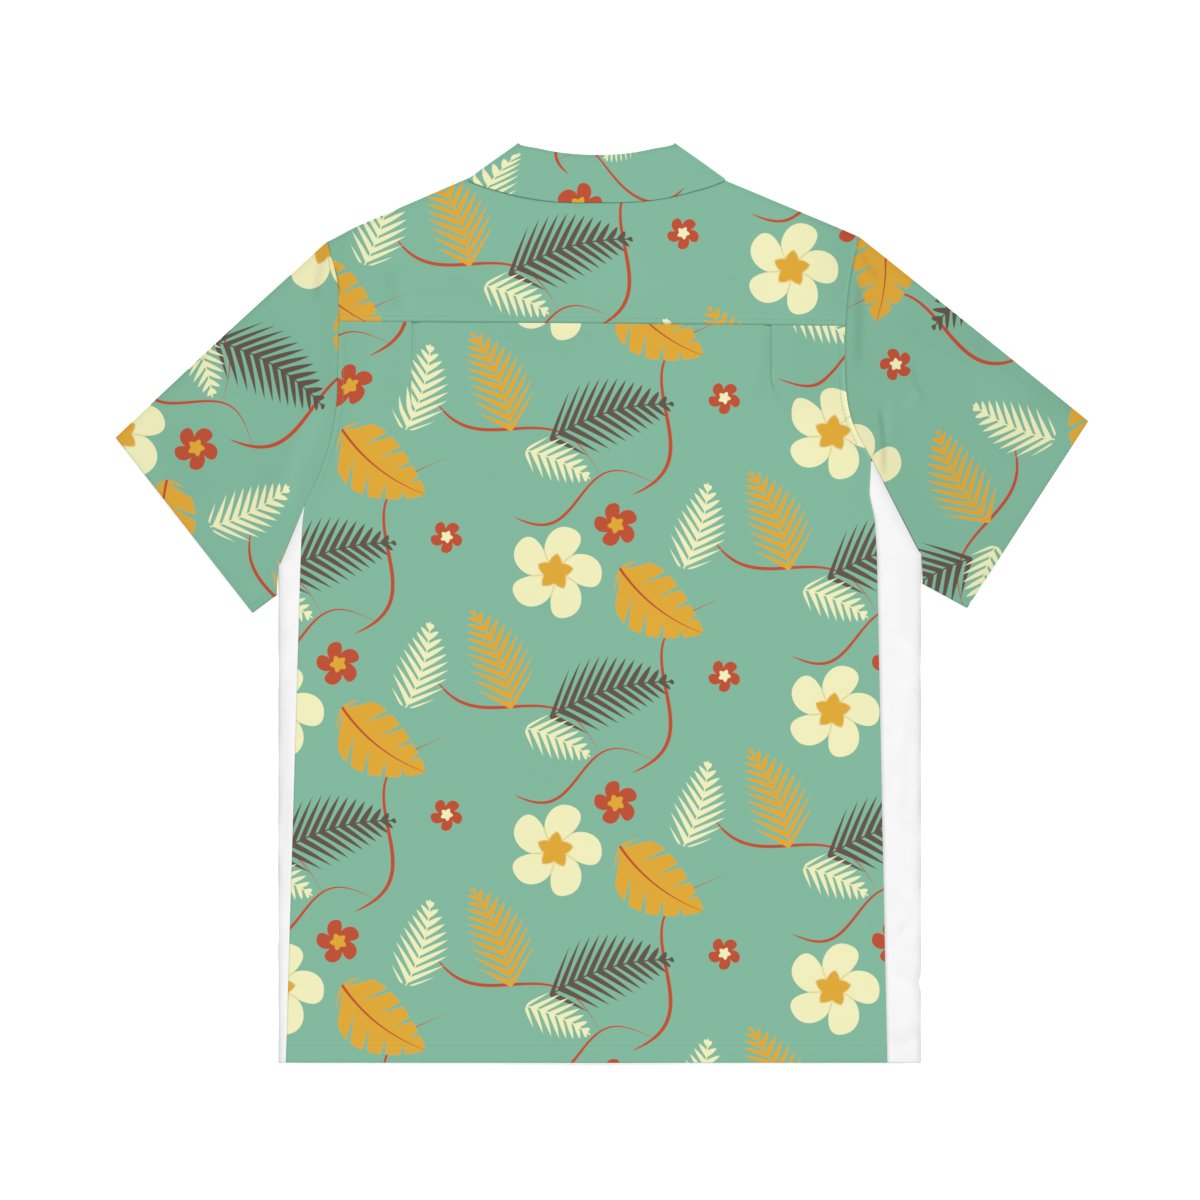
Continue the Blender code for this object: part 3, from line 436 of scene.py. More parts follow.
class Graph:
    """A material's nodes, put together by formula."""

    def __init__(self, name):
        self.material = bpy.data.materials.new(name)
        self.material.use_nodes = True
        self.nodes = self.material.node_tree.nodes
        self.links = self.material.node_tree.links

    def put(self, node, **inputs):
        """Sets a node's inputs by name to values, or links them to other nodes' outputs."""
        for name, value in inputs.items():
            socket = node.inputs[name.replace("_", " ")]
            if isinstance(value, Value):
                self.links.new(value.socket, socket)
            else:
                socket.default_value = value

    def shade(self, **inputs):
        """Sets the shader's inputs."""
        self.put(self.nodes["Principled BSDF"], **inputs)

    def add(self, kind, output, **inputs):
        """The named output of a new node of a kind."""
        node = self.nodes.new("ShaderNode" + kind)
        self.put(node, **inputs)
        return Value(self, node.outputs[output])

    def noise(self, place, scale, detail, **inputs):
        """Soft cloudy noise."""
        return self.add("TexNoise", "Fac", Vector=place, Scale=scale, Detail=detail, **inputs)

    def math(self, operation, *values, clamp=False):
        """One step of arithmetic."""
        node = self.nodes.new("ShaderNodeMath")
        node.operation = operation
        node.use_clamp = clamp
        for socket, value in zip(node.inputs, values):
            if isinstance(value, Value):
                self.links.new(value.socket, socket)
            else:
                socket.default_value = value
        return Value(self, node.outputs[0])

    def mix(self, share, first, second, blend="MIX"):
        """The first colour where share is 0, the second where it is 1."""
        node = self.nodes.new("ShaderNodeMix")
        node.data_type = "RGBA"
        node.blend_type = blend
        self.put(node, Factor=share, A=first, B=second)
        return Value(self, node.outputs["Result"])

    def attribute(self, name):
        """A number stored on the mesh at each point."""
        node = self.nodes.new("ShaderNodeAttribute")
        node.attribute_name = name
        return Value(self, node.outputs["Fac"])


# ---------------------------------------------------------------- the print
REPEAT = 236.0                # the print's columns, and the repeat up each column
EDGE = 0.45                   # softness of a printed edge

JADE = linear(129, 185, 158)
CREAM = linear(241, 239, 189)
CREAM_LINE = linear(222, 208, 140)
MUSTARD = linear(224, 169, 52)
RUST = linear(190, 80, 50)
BROWN = linear(98, 84, 72)
WHITE = linear(247, 247, 247)

# Each motif's centre, turn in degrees and half length, then its own numbers.
TENDRILS = [                  # sway, waves and thickness
    ((62.0, -60.0), 62.0, 92.0, 0.24, 3.4, 2.5),
    ((-62.0, -96.0), -28.0, 84.0, 0.2, 3.1, 2.2),
    ((-8.0, 92.0), 14.0, 70.0, 0.22, 3.6, 2.0),
]
FRONDS = [                    # leaflets in a half length, spread, bow and ink
    ((-88.0, -46.0), 112.0, 45.0, 5.2, 0.6, 0.14, MUSTARD),
    ((6.0, -74.0), 16.0, 55.0, 6.2, 0.56, -0.16, BROWN),
    ((84.0, 64.0), 74.0, 38.0, 4.6, 0.6, 0.12, CREAM),
    ((-36.0, -116.0), -24.0, 30.0, 3.8, 0.62, -0.1, CREAM),
]
LEAF = ((46.0, -4.0), -38.0, 45.0)
BLOSSOMS = [                  # petals, and the inks of petal, edge and throat
    ((-40.0, 26.0), 20.0, 40.0, 5, CREAM, CREAM_LINE, MUSTARD),
    ((12.0, 66.0), 50.0, 19.0, 5, RUST, None, MUSTARD),
    ((104.0, -62.0), 0.0, 14.0, 5, RUST, None, CREAM),
]


def printed_place(u, v, centre, turn, half):
    """Where a point of the cloth lies in a motif's own frame, in half lengths of it.

    The motif repeats up each column, and each column is half a repeat higher than the
    one before it.
    """
    across = u - centre[0]
    column = (across / REPEAT).rounded()
    across = across - column * REPEAT
    up = v - centre[1] - column * (REPEAT / 2)
    up = up - (up / REPEAT).rounded() * REPEAT
    cos, sin = (heading(turn) / half).tolist()
    return across * cos + up * sin, up * cos - across * sin


def blossom(u, v, centre, turn, radius, petals):
    """A flower of overlapping petals, as masks for its petals, their edges and its throat.

    The outline's radius falls from each petal's tip to the notch beside it, and turns
    a little with the distance from the middle, as a pinwheel does.
    """
    along, aside = printed_place(u, v, centre, turn, radius)
    out = (along * along + aside * aside) ** 0.5
    angle = u.graph.math("ARCTAN2", aside, along) / (2.0 * np.pi / petals) + out * 0.32
    aside_petal = angle.off_whole() * 2.0
    petal = (1.0 - aside_petal ** 2.6 * 0.5 - out).inside(EDGE / radius)
    line = (1.0 - aside_petal) * out * (np.pi / petals)
    line = 1.0 - line.inside(1.1 / radius)
    throat = (0.42 - aside_petal * 0.16 - out).inside(0.05)
    return petal, petal * line, petal * throat


def frond(u, v, centre, turn, half, leaflets, spread, bow):
    """A palm frond: slanting leaflets on both sides of a bowed stem.

    Leaflets repeat along the stem, lean towards its tip and thin out as they leave it,
    inside an outline that is widest a third of the way up.
    """
    along, aside = printed_place(u, v, centre, turn, half)
    off = abs(aside - along * along * bow)
    room = (1.0 - along * along).at_least(0.0001) ** 0.62
    reach = room * (spread - along * (0.3 * spread))
    gap = ((along - off * 0.9) * leaflets).off_whole()
    share = off / reach.at_least(0.001)
    leaflet = ((1.0 - share * share) * 0.36 - gap).inside(EDGE * leaflets / half)
    stem = (0.85 / half - off).inside(EDGE / half)
    here = (1.0 - abs(along)).inside(EDGE / half)
    return here * leaflet.at_least(stem)


def split_leaf(u, v, centre, turn, half):
    """A broad leaf cut in from its edge between the veins, as masks for leaf and midrib."""
    along, aside = printed_place(u, v, centre, turn, half)
    off = abs(aside - along * along * 0.16)
    room = (1.0 - along * along).at_least(0.0001) ** 0.7
    reach = room * (0.6 - along * 0.24)
    share = off / reach.at_least(0.001)
    gap = ((along - off * 0.55) * 2.6).off_whole()
    uncut = (0.5 - gap - (share - 0.34) * 0.2).inside(EDGE * 2.6 / half)
    leaf = (reach - off).inside(EDGE / half) * uncut
    rib = (0.9 / half - along * (0.5 / half) - off).inside(EDGE / half)
    return leaf, leaf * rib


def tendril(u, v, centre, turn, half, sway, waves, thick):
    """A long swaying stem that thins from one end to the other."""
    along, aside = printed_place(u, v, centre, turn, half)
    wave = along * waves + 0.6
    slope = u.graph.math("COSINE", wave)
    slope = slope * slope * (sway * waves) ** 2 + 1.0
    off = abs(aside - u.graph.math("SINE", wave) * sway) / slope ** 0.5
    width = 0.62 * thick / half - along * (0.5 * thick / half)
    width = width * (1.0 - along * along).at_least(0.0) ** 0.5
    here = (1.0 - abs(along)).inside(EDGE / half)
    return (width - off).inside(EDGE / half) * here


def hawaiian_print(graph, u, v):
    """The whole print on its jade ground, from the lowest motif to the top one."""
    colour = JADE
    for shape in TENDRILS:
        colour = graph.mix(tendril(u, v, *shape), colour, RUST)
    for *shape, ink in FRONDS:
        colour = graph.mix(frond(u, v, *shape), colour, ink)
    leaf, rib = split_leaf(u, v, *LEAF)
    colour = graph.mix(rib, graph.mix(leaf, colour, MUSTARD), RUST)
    for *shape, ink, edge_ink, heart in BLOSSOMS:
        petal, line, throat = blossom(u, v, *shape)
        colour = graph.mix(petal, colour, ink)
        if edge_ink:
            colour = graph.mix(line, colour, edge_ink)
        colour = graph.mix(throat, colour, heart)
    return colour


def make_print_cloth():
    """Printed poplin: the print, its bare margins, slight unevenness of the dye, and the painted
    shade that each point carries.
    """
    graph = Graph("printed_cloth")
    flat = graph.add("UVMap", "UV")
    u, v = (graph.add("SeparateXYZ", axis, Vector=flat) * (1.0 / MM) for axis in "XY")
    bare = 0.25 - graph.attribute("printed")
    colour = graph.mix(bare.inside(0.5), hawaiian_print(graph, u, v), WHITE)
    dye = graph.noise(flat, 14.0, 4.0, Roughness=0.55)
    thread = graph.noise(flat, 700.0, 2.0, Roughness=0.6)
    # Dye unevenness times the painted shade stored on each point, which darkens and lightens the
    # print.
    painted_shade_and_dye = ((dye + thread) * 0.03 + 0.97) * graph.attribute("painted_shade_and_dye")
    shade = graph.add("CombineXYZ", "Vector", X=painted_shade_and_dye, Y=painted_shade_and_dye, Z=painted_shade_and_dye)
    return finish_cloth(graph, flat, graph.mix(1.0, colour, shade, "MULTIPLY"))


def make_reverse_cloth():
    """The wrong side, where the print hardly comes through."""
    graph = Graph("cloth_reverse")
    flat = graph.add("UVMap", "UV")
    soft = graph.noise(flat, 18.0, 4.0, Roughness=0.6)
    colour = graph.mix(soft, linear(226, 236, 231), linear(240, 243, 241))
    return finish_cloth(graph, flat, colour)


def finish_cloth(graph, flat, colour):
    """The matte, slightly soft surface of both sides, with fine weave and handling marks."""
    slub = graph.noise(flat, 900.0, 3.0, Roughness=0.6)
    soft = graph.noise(flat, 26.0, 3.0, Roughness=0.5)
    height = slub * 0.1 + soft * 0.9
    relief = graph.add("Bump", "Normal", Height=height, Strength=0.12, Distance=0.0012)
    graph.shade(Base_Color=colour, Normal=relief, Roughness=0.88, Specular_IOR_Level=0.18,
                Sheen_Weight=0.06, Sheen_Roughness=0.5)
    return graph.material


def make_thread(name, dark, light):
    """Sewing thread: two strands twisted together, seen as fine slanting bands of painted shade and
    painted light along the twist.
    """
    graph = Graph(name)
    place = graph.add("TexCoord", "Object")
    twist = graph.add("TexWave", "Fac", Vector=place, Scale=900.0, Distortion=0.6)
    twist.socket.node.bands_direction = "DIAGONAL"
    relief = graph.add("Bump", "Normal", Height=twist, Strength=0.3, Distance=0.0001)
    graph.shade(Base_Color=graph.mix(twist, dark, light), Normal=relief, Roughness=0.6)
    return graph.material


def make_button_resin():
    """Cream resin with a soft cloudy marbling and a polished face."""
    graph = Graph("button_resin")
    place = graph.add("TexCoord", "Object")
    cloud = graph.noise(place, 160.0, 5.0, Roughness=0.6, Distortion=1.4)
    worn = graph.noise(place, 900.0, 2.0) * 0.12 + 0.2
    relief = graph.add("Bump", "Normal", Height=cloud, Strength=0.08, Distance=0.0003)
    colour = graph.mix(cloud, linear(222, 214, 190), linear(245, 241, 226))
    graph.shade(Base_Color=colour, Normal=relief, Roughness=worn)
    return graph.material


PRINTED = make_print_cloth()
REVERSE = make_reverse_cloth()
THREAD = make_thread("sewing_thread", linear(112, 168, 141), linear(136, 190, 164))
PALE_THREAD = make_thread("pale_thread", linear(232, 233, 232), linear(250, 250, 250))
RESIN = make_button_resin()


# ---------------------------------------------------------------- putting pieces into the scene
def add_mesh(name, points, faces, materials):
    """A piece from points in millimetres and faces of equal size, riding with the shirt."""
    mesh = bpy.data.meshes.new(name)
    points = np.asarray(points, dtype=np.float32) * MM
    faces = np.asarray(faces, dtype=np.int32)
    starts = np.arange(0, faces.size, faces.shape[1], dtype=np.int32)
    mesh.vertices.add(len(points))
    mesh.vertices.foreach_set("co", points.ravel())
    mesh.loops.add(faces.size)
    mesh.loops.foreach_set("vertex_index", faces.ravel())
    mesh.polygons.add(len(faces))
    mesh.polygons.foreach_set("loop_start", starts)
    mesh.update(calc_edges=True)
    for material in materials:
        mesh.materials.append(material)
    mesh.shade_smooth()
    item = bpy.data.objects.new(name, mesh)
    bpy.context.scene.collection.objects.link(item)
    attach(item, "root")
    return item


def grid_faces(number):
    """Four-sided faces between the neighbours in a grid of point numbers."""
    corners = [number[:-1, :-1], number[:-1, 1:], number[1:, 1:], number[1:, :-1]]
    return np.stack(corners, axis=-1).reshape(-1, 4)


def add_cloth(name, patches, node, flipped=False, painted_shade_and_dye=1.0, outer=False):
    """Cloth from patches, each a grid of points with its flat cut, printed margin and painted
    shade.

    Points that two patches share are joined. The faces are wound so that they point to
    the printed side. The grid is the middle of the solid's wall, and the shell reaches
    from the wall's outer face inwards; where outer is set, the grid is that face itself.
    """
    points, flats, margins, shades, faces, first = [], [], [], [], [], 0
    for patch in patches:
        shape = patch["grid"].shape[:2]
        faces.append(first + grid_faces(np.arange(shape[0] * shape[1]).reshape(shape)))
        points.append(patch["grid"].reshape(-1, 3))
        flats.append(patch["flat"].reshape(-1, 2))
        margins.append(np.broadcast_to(patch.get("printed", FULLY_PRINTED), shape).ravel())
        shades.append(np.broadcast_to(patch.get("shade", 0.0), shape).ravel())
        first += shape[0] * shape[1]
    parts = (points, flats, margins, shades, faces)
    points, flats, margins, shades, faces = (np.concatenate(part) for part in parts)
    if flipped:
        faces = faces[:, ::-1]
    places = np.round(points, 3)
    _, kept, joined = np.unique(places, axis=0, return_index=True, return_inverse=True)
    item = add_mesh(name, points[kept], joined.reshape(-1)[faces], [PRINTED, REVERSE])
    uv = item.data.uv_layers.new(name="flat_cut")
    uv.data.foreach_set("uv", (flats[faces.ravel()] * MM).astype(np.float32).ravel())
    # Each point keeps its printed margin and its painted shade, a share by which the cloth's colour
    # is darkened or lightened.
    for label, values in (("printed", margins[kept]), ("painted_shade_and_dye", painted_shade_and_dye * (1.0 + shades[kept]))):
        layer = item.data.attributes.new(label, "FLOAT", "POINT")
        layer.data.foreach_set("value", values.astype(np.float32))
    shell = item.modifiers.new("cloth", "SOLIDIFY")
    shell.thickness = (BACK_SHELL if outer else SHELL) * MM
    shell.offset = -1.0 if outer else WALL / SHELL - 1.0
    shell.material_offset = 1
    shell.material_offset_rim = 0
    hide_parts(node)
    return item


# ---------------------------------------------------------------- levels of the layers
def roll_line(hand):
    """Start at the side of the neck, direction down the front, and length."""
    start = np.array([CENTRE_X + hand * COLLAR_HALF, COLLAR_FOLD_Y + COLLAR_FOLD_RISE])
    run = np.array([CENTRE_X, V_POINT_Y]) - start
    return start, unit(run), np.linalg.norm(run)


def lapel_width(share):
    """Width of the lapel at a share of the roll line, from the gorge to nothing at the V."""
    return LAPEL_WIDTH * (1.0 - share) / (1.0 - GORGE)


def collar_lift(x, y):
    """Height that the collar and lapels under the fronts give the cloth above them."""
    lift = np.zeros(np.broadcast(x, y).shape)
    for hand in (-1.0, 1.0):
        start, along, length = roll_line(hand)
        share = ((x - start[0]) * along[0] + (y - start[1]) * along[1]) / length
        out = ((y - start[1]) * along[0] - (x - start[0]) * along[1]) * hand
        lapel = np.minimum(lapel_width(share), LAPEL_WIDTH)
        past = np.maximum(out, 0.0) - np.where(share < GORGE, COLLAR_LEAF_TIP, lapel)
        here = np.where(hand * (x - CENTRE_X) >= 0.0, PLY, 0.0)
        lift = np.maximum(lift, here * (1.0 - smooth((past - LIFT_MARGIN) / LIFT_RUN)))
    return lift


def button_heights():
    """Y of each button, from the top one down."""
    return BUTTON_TOP_Y - BUTTON_SPACING * np.arange(BUTTON_COUNT)


def button_domes(x, y):
    """Rise of the placket over each button: flat on top, with sloping sides."""
    run = DOME_FOOT - DOME_FLAT
    across = 1.0 - smooth((np.abs(x - CENTRE_X) - DOME_FLAT) / run)
    total = np.zeros(np.broadcast(x, y).shape)
    for centre in button_heights():
        up = 1.0 - smooth((np.abs(y - centre) - DOME_FLAT) / run)
        total = np.maximum(total, DOME_RISE * across * up)
    return total


def front_inner_x(hand, y):
    """X of a front's inner edge: placket, then the corner to the V, then the roll line."""
    along = roll_line(hand)[1]
    placket = CENTRE_X - hand * PLACKET_HALF
    corner = np.clip((y - PLACKET_TOP_Y) / (V_POINT_Y - PLACKET_TOP_Y), 0.0, 1.0)
    roll = np.maximum(y - V_POINT_Y, 0.0) * along[0] / along[1]
    return placket * (1.0 - corner) + CENTRE_X * corner + roll


def front_level(hand, x, y):
    """Middle of a front's wall; the right one passes over the left at the placket."""
    level = FLOOR + collar_lift(x, y) + button_domes(x, y)
    if hand > 0:
        past = x - front_inner_x(-1.0, y) - 4.0
        level = level + PLY * (1.0 - smooth(past / 15.0))
    return level


def shoulder_line(x):
    """Y of the shoulder fold above a given X, falling away on both sides."""
    return np.interp(x, [-233.0, -113.0, 104.0, 220.0], [306.6, 360.0, 360.0, 310.9])


def back_level(x, y):
    """Middle of the back's wall: on the fronts at the edges, fuller in the middle."""
    off_middle = np.clip(np.abs(x - CENTRE_X) / SWELL_MIDDLE_HALF, 0.0, 1.0)
    middle = np.cos(off_middle * np.pi / 2) ** 2 * (1.0 - smooth((y - 232.0) / 90.0))
    broad = np.clip(1.0 - (x / SWELL_BROAD_HALF) ** 2, 0.0, 1.0)
    broad = broad * smooth((shoulder_line(x) - y) / 60.0)
    return BACK_LEVEL + collar_lift(x, y) + SWELL_MIDDLE * middle + SWELL_BROAD * broad


def line_y(x, start, end):
    """Y at a given X on the straight line from start to end."""
    return np.interp(x, [start[0], end[0]], [start[1], end[1]])


def seam_y(x):
    """Y of the yoke seam at a given X."""
    return line_y(x, YOKE_EDGE["left"][0], YOKE_EDGE["right"][0])


def hem_welt(x, y):
    """The turned-up hem: a slightly raised band with its stitching drawn in."""
    up = y - HEM_Y
    return welt(up, HEM_DEPTH, 0.22) + puckers(x, up - HEM_DEPTH, 7.0, 0.1, 3)


def back_relief(x, y, inward=50.0):
    """Pressed and handled marks on the body's upper side; unevenness fades at an armhole."""
    soft = 0.16 * uneven(x, y, 120.0, 11) + 0.05 * uneven(x, y, 42.0, 12)
    return soft * smooth(inward / 14.0) + hem_welt(x, y) + creases(BACK_CREASES, x, y)


# ---------------------------------------------------------------- back
def pleat_profile():
    """One pressed pleat from its under ply to its top ply: flat place, X and height."""
    turn = np.radians(np.linspace(-75.0, 75.0, 6))
    bow, climb = PLEAT_PLY / 2 * np.cos(turn), PLEAT_PLY / 2 * (1.0 + np.sin(turn))
    under = np.linspace(PLEAT_LEAD, PLEAT_DEPTH, 6)
    middle = np.linspace(PLEAT_DEPTH, 0.0, 5)
    top = np.linspace(0.0, PLEAT_DEPTH + PLEAT_RUN, 14)
    fall = 1.0 - smooth((top - PLEAT_DEPTH) / PLEAT_RUN)
    folded = np.concatenate([under, PLEAT_DEPTH + bow, middle, -bow, top])
    height = np.concatenate([0.0 * under, climb, PLEAT_PLY + 0.0 * middle, PLEAT_PLY + climb,
                             2 * PLEAT_PLY * fall])
    drawn = np.concatenate([np.clip(under / PLEAT_DEPTH, 0.0, 1.0), 1.0 + 0.0 * bow,
                            middle / PLEAT_DEPTH, 0.0 * bow, 0.0 * top])
    spread = np.linspace(PLEAT_LEAD, PLEAT_DEPTH + PLEAT_RUN, len(folded))
    return spread, folded, height, drawn


def lay_pleat(below_seam, pleat_x, faces):
    """X, height and print shift of a pleat's columns at a distance below the yoke seam.

    Going down, the fold first draws back to its edge and then its rise dies away.
    """
    spread, folded, height, drawn = pleat_profile()
    folded = folded - PLEAT_DEPTH * drawn * smooth(below_seam / PLEAT_LENGTH)
    rise_share = 1.0 - smooth((below_seam - PLEAT_LENGTH) / PLEAT_FADE)
    place = spread * (1.0 - rise_share) + folded * rise_share
    return pleat_x - faces * place, height * rise_share, rise_share


def body_edge(side, shares_low, shares_high):
    """The back's edge on one side, as one line from the hem to the yoke seam."""
    table = BACK_EDGE[side] - (SIDES[side]["hand"] * JOIN, 0.0)
    table[-1, 1] -= JOIN
    low = straight_runs(table[:ARMHOLE_ROW + 1], shares_low)
    high = curve(table[ARMHOLE_ROW:], shares_high)
    return np.concatenate([low, high[1:]])


def back_row(start, end, seam_start, seam_end):
    """One row of the back, from its left edge to its right, with both pleats laid in."""
    pleats = []
    for pleat_x, faces in PLEATS:
        gap = line_y(pleat_x, seam_start, seam_end) - line_y(pleat_x, start, end)
        pleats.append(lay_pleat(gap, pleat_x, faces))
    (left_x, left_rise, left_share), (right_x, right_rise, right_share) = pleats
    near = spaced(60.0, 3.5, [(4.0, 3.0, 1.0)])[:-1]
    outer_left = along_line(start[0], left_x[-1], near)
    outer_right = along_line(end[0], right_x[-1], near[::-1])
    middle = np.linspace(left_x[0], right_x[0], 84)[1:-1]
    x = np.concatenate([outer_left, left_x[::-1], middle, right_x, outer_right])
    rise = np.concatenate([0.0 * outer_left, left_rise[::-1], 0.0 * middle, right_rise,
                           0.0 * outer_right])
    y = line_y(x, start, end)
    shift = np.where(x > PLEATS[1][0], right_share, 0.0)
    shift = PLEAT_TAKE * (shift - np.where(x < PLEATS[0][0], left_share, 0.0))
    inward = np.minimum(x - start[0], end[0] - x)
    relief = back_relief(x, y, inward) + edge_welt(y, inward)
    height = back_level(x, y) + WALL / 2 + rise + relief * (1.0 - smooth(rise / 0.3))
    return np.column_stack([x, y, height]), np.column_stack([x + shift, y])


def edge_welt(y, inward):
    """The body's side of an armhole: the seam allowance under it shows as a ridge."""
    ridge = smooth((y - 86.0) / 30.0) * welt(inward, WELT_WIDTH, 0.24)
    return ridge + puckers(y, inward, 6.0, 0.08, 5) * smooth(inward / 2.0)


def armhole_shade(x):
    """Painted shade on the cloth beside an armhole, darker softly towards the seam, and a painted
    highlight along the seam's edge.
    """
    inward = np.minimum(x - x[:, :1], x[:, -1:] - x)
    return 0.07 * bell(inward, 1.4) - 0.028 * bell(inward, 17.0)


def make_back():
    """The back panel, hem to yoke seam, with a pleat under the yoke on each side."""
    shares_low = spaced(490.0, 4.2, HEM_FINE)
    shares_high = spaced(150.0, 3.4, [(149.0, 3.0, 1.0)])
    left, right = (body_edge(side, shares_low, shares_high) for side in SIDES)
    rows = [back_row(start, end, left[-1], right[-1]) for start, end in zip(left, right)]
    grid, flat = (np.array(part) for part in zip(*rows))
    x, y = grid[..., 0], grid[..., 1]
    # Painted shade: the darker and lighter places from the table, darker at the hem's edge, and the
    # armholes' painted shade and highlight.
    shade = creases(BODY_SHADES, x, y) + rim(y - HEM_Y, 2.0, 0.05)
    shade = shade + armhole_shade(x) * smooth((y - 50.0) / 40.0)
    patch = {"grid": grid, "flat": flat, "shade": shade}
    item = add_cloth("back_cloth", [patch], "back", outer=True)


# ---------------------------------------------------------------- yoke
def shoulder_columns(table):
    """Eight numbers along a shoulder, read at all of its columns."""
    return np.interp(np.linspace(0.0, 7.0, SHOULDER_COLUMNS), range(8), table)


def sleeve_top_way(side):
    """The way out from the sleeve's top fold."""
    return upright(YOKE_EDGE[side][-1] - SIDES[side]["cuff_top"])


def shoulder_corner(side):
    """Middle of the bend where yoke and sleeve meet at the shoulder."""
    return YOKE_EDGE[side][-1] - FOLD_INSET * sleeve_top_way(side)


def yoke_shoulder(side, places):
    """One shoulder's columns: points on its fold, ways out from it, front seam points."""
    hand = SIDES[side]["hand"]
    point, fall, _, leaf = collar_back_station(1.0)
    under_leaf = on_side(point + (leaf + 1.0) * fall, hand)
    neck = neck_points(collar_back_station, [1.0], hand)[0]
    out_way = unit(quarter(under_leaf - YOKE_EDGE[side][-1])) * -hand
    fold = read([shoulder_corner(side) - (hand * JOIN, 0.0), under_leaf, neck], places)
    bow = smooth(places / 0.24) * (1.0 - smooth((places - 1.0) / 0.25))
    fold = fold + SHOULDER_BOW[side] * bow[:, None] * out_way
    neck_way = quarter(fall * (hand, 1.0)) * hand
    ways = between(out_way, neck_way, smooth(places - 0.5))
    ways = ways / np.linalg.norm(ways, axis=1)[:, None]
    armhole, neck_end = front_yoke_seam(side)
    return fold, ways, between(armhole, neck_end, places / 2.0)


def front_yoke_seam(side):
    """Two ends of the seam between yoke and front: at the armhole and at the neck."""
    hand = SIDES[side]["hand"]
    down = heading(-90.0 - hand * YOKE_FRONT_LEAN)
    neck = neck_points(collar_front_station, [FRONT_NECK_END], hand)[0]
    return YOKE_EDGE[side][-1] + YOKE_FRONT_DEPTH * down, neck


def yoke_pleat_rise(x, y):
    """The yoke lies up over the top ply of each pleat just above the seam."""
    rise = np.zeros(np.broadcast(x, y).shape)
    for pleat_x, faces in PLEATS:
        out = (pleat_x - x) * faces
        across = smooth((out + 10.0) / 10.0) * (1.0 - smooth((out - PLEAT_DEPTH) / PLEAT_RUN))
        fade = 1.0 - smooth((y - seam_y(x)) / 30.0)
        rise = np.maximum(rise, 2 * PLEAT_PLY * across * fade)
    return rise


def yoke_surface(x, y):
    """Middle of the yoke's wall on the back, with its seams' ridges and soft marks."""
    above = y - seam_y(x)
    rows = np.clip(above / 35.0, 0.0, 2.0)
    left, right = (read(YOKE_EDGE[side], rows)[:, 0] for side in SIDES)
    inward = np.minimum(x - left, right - x)
    level = back_level(x, y) + yoke_pleat_rise(x, y)
    level = level + back_relief(x, y, inward) * smooth(above / 20.0)
    level = level + welt(above, WELT_WIDTH, 0.2) + puckers(x, above - 4.0, 5.0, 0.06, 8)
    return level + welt(inward, WELT_WIDTH, 0.16) * smooth((shoulder_line(x) - y) / 14.0)


def yoke_back_rows(left_fold, neck, right_fold):
    """Rows from the yoke seam up to the shoulder folds and the back neck seam."""
    inset = shoulder_columns([0.0, 23.0, 38.0, 53.0, 62.0, 74.0, 106.0, 138.0])
    left_x = YOKE_EDGE["left"][0, 0] + JOIN + inset
    right_x = YOKE_EDGE["right"][0, 0] - JOIN - inset * 0.94
    middle_x = np.linspace(left_x[-1], right_x[-1], len(neck) + 2)[1:-1]
    start_x = np.concatenate([left_x, middle_x, right_x[::-1]])
    starts = np.column_stack([start_x, seam_y(start_x) + JOIN])
    tops = np.concatenate([left_fold, neck, right_fold[::-1]])
    rows = []
    for share in spaced(95.0, 3.2, [(4.6, 3.4, 0.8), (93.0, 2.0, 0.9)]):
        flat = between(starts, tops, np.full(len(starts), share))
        for column, side in ((0, "left"), (-1, "right")):
            low, middle = YOKE_EDGE[side][:2]
            line = [low + (0.0, JOIN), middle, shoulder_corner(side)]
            flat[column] = curve(line, [share])[0] - (SIDES[side]["hand"] * JOIN, 0.0)
        rows.append(np.column_stack([flat, yoke_surface(*flat.T)]))
    for shoulder in (slice(None, SHOULDER_COLUMNS), slice(-SHOULDER_COLUMNS, None)):
        rows[-1][shoulder, 2] = BACK_LEVEL + collar_lift(*tops[shoulder].T)
    return np.array(rows)


def yoke_over(fold, way, seam):
    """Rows round one shoulder fold and down to the front seam, with their flat cut."""
    lift = collar_lift(*fold.T)
    rows, cut = [np.column_stack([fold, BACK_LEVEL + lift])], [fold]
    for turn in FOLD_TURNS:
        height = (BACK_LEVEL + FLOOR) / 2 + lift + FOLD_RADIUS * np.cos(turn)
        rows.append(np.column_stack([fold + FOLD_RADIUS * np.sin(turn) * way, height]))
        cut.append(fold + FOLD_RADIUS * turn * way)
    for share in np.linspace(0.0, 1.0, 9):
        flat = fold * (1.0 - share) + (seam + (0.0, JOIN)) * share
        rows.append(np.column_stack([flat, FLOOR + collar_lift(*flat.T)]))
        down = np.linalg.norm(flat - fold, axis=1)[:, None]
        cut.append(fold + (FOLD_RADIUS * np.pi + down) * way)
    return np.array(rows), np.array(cut)


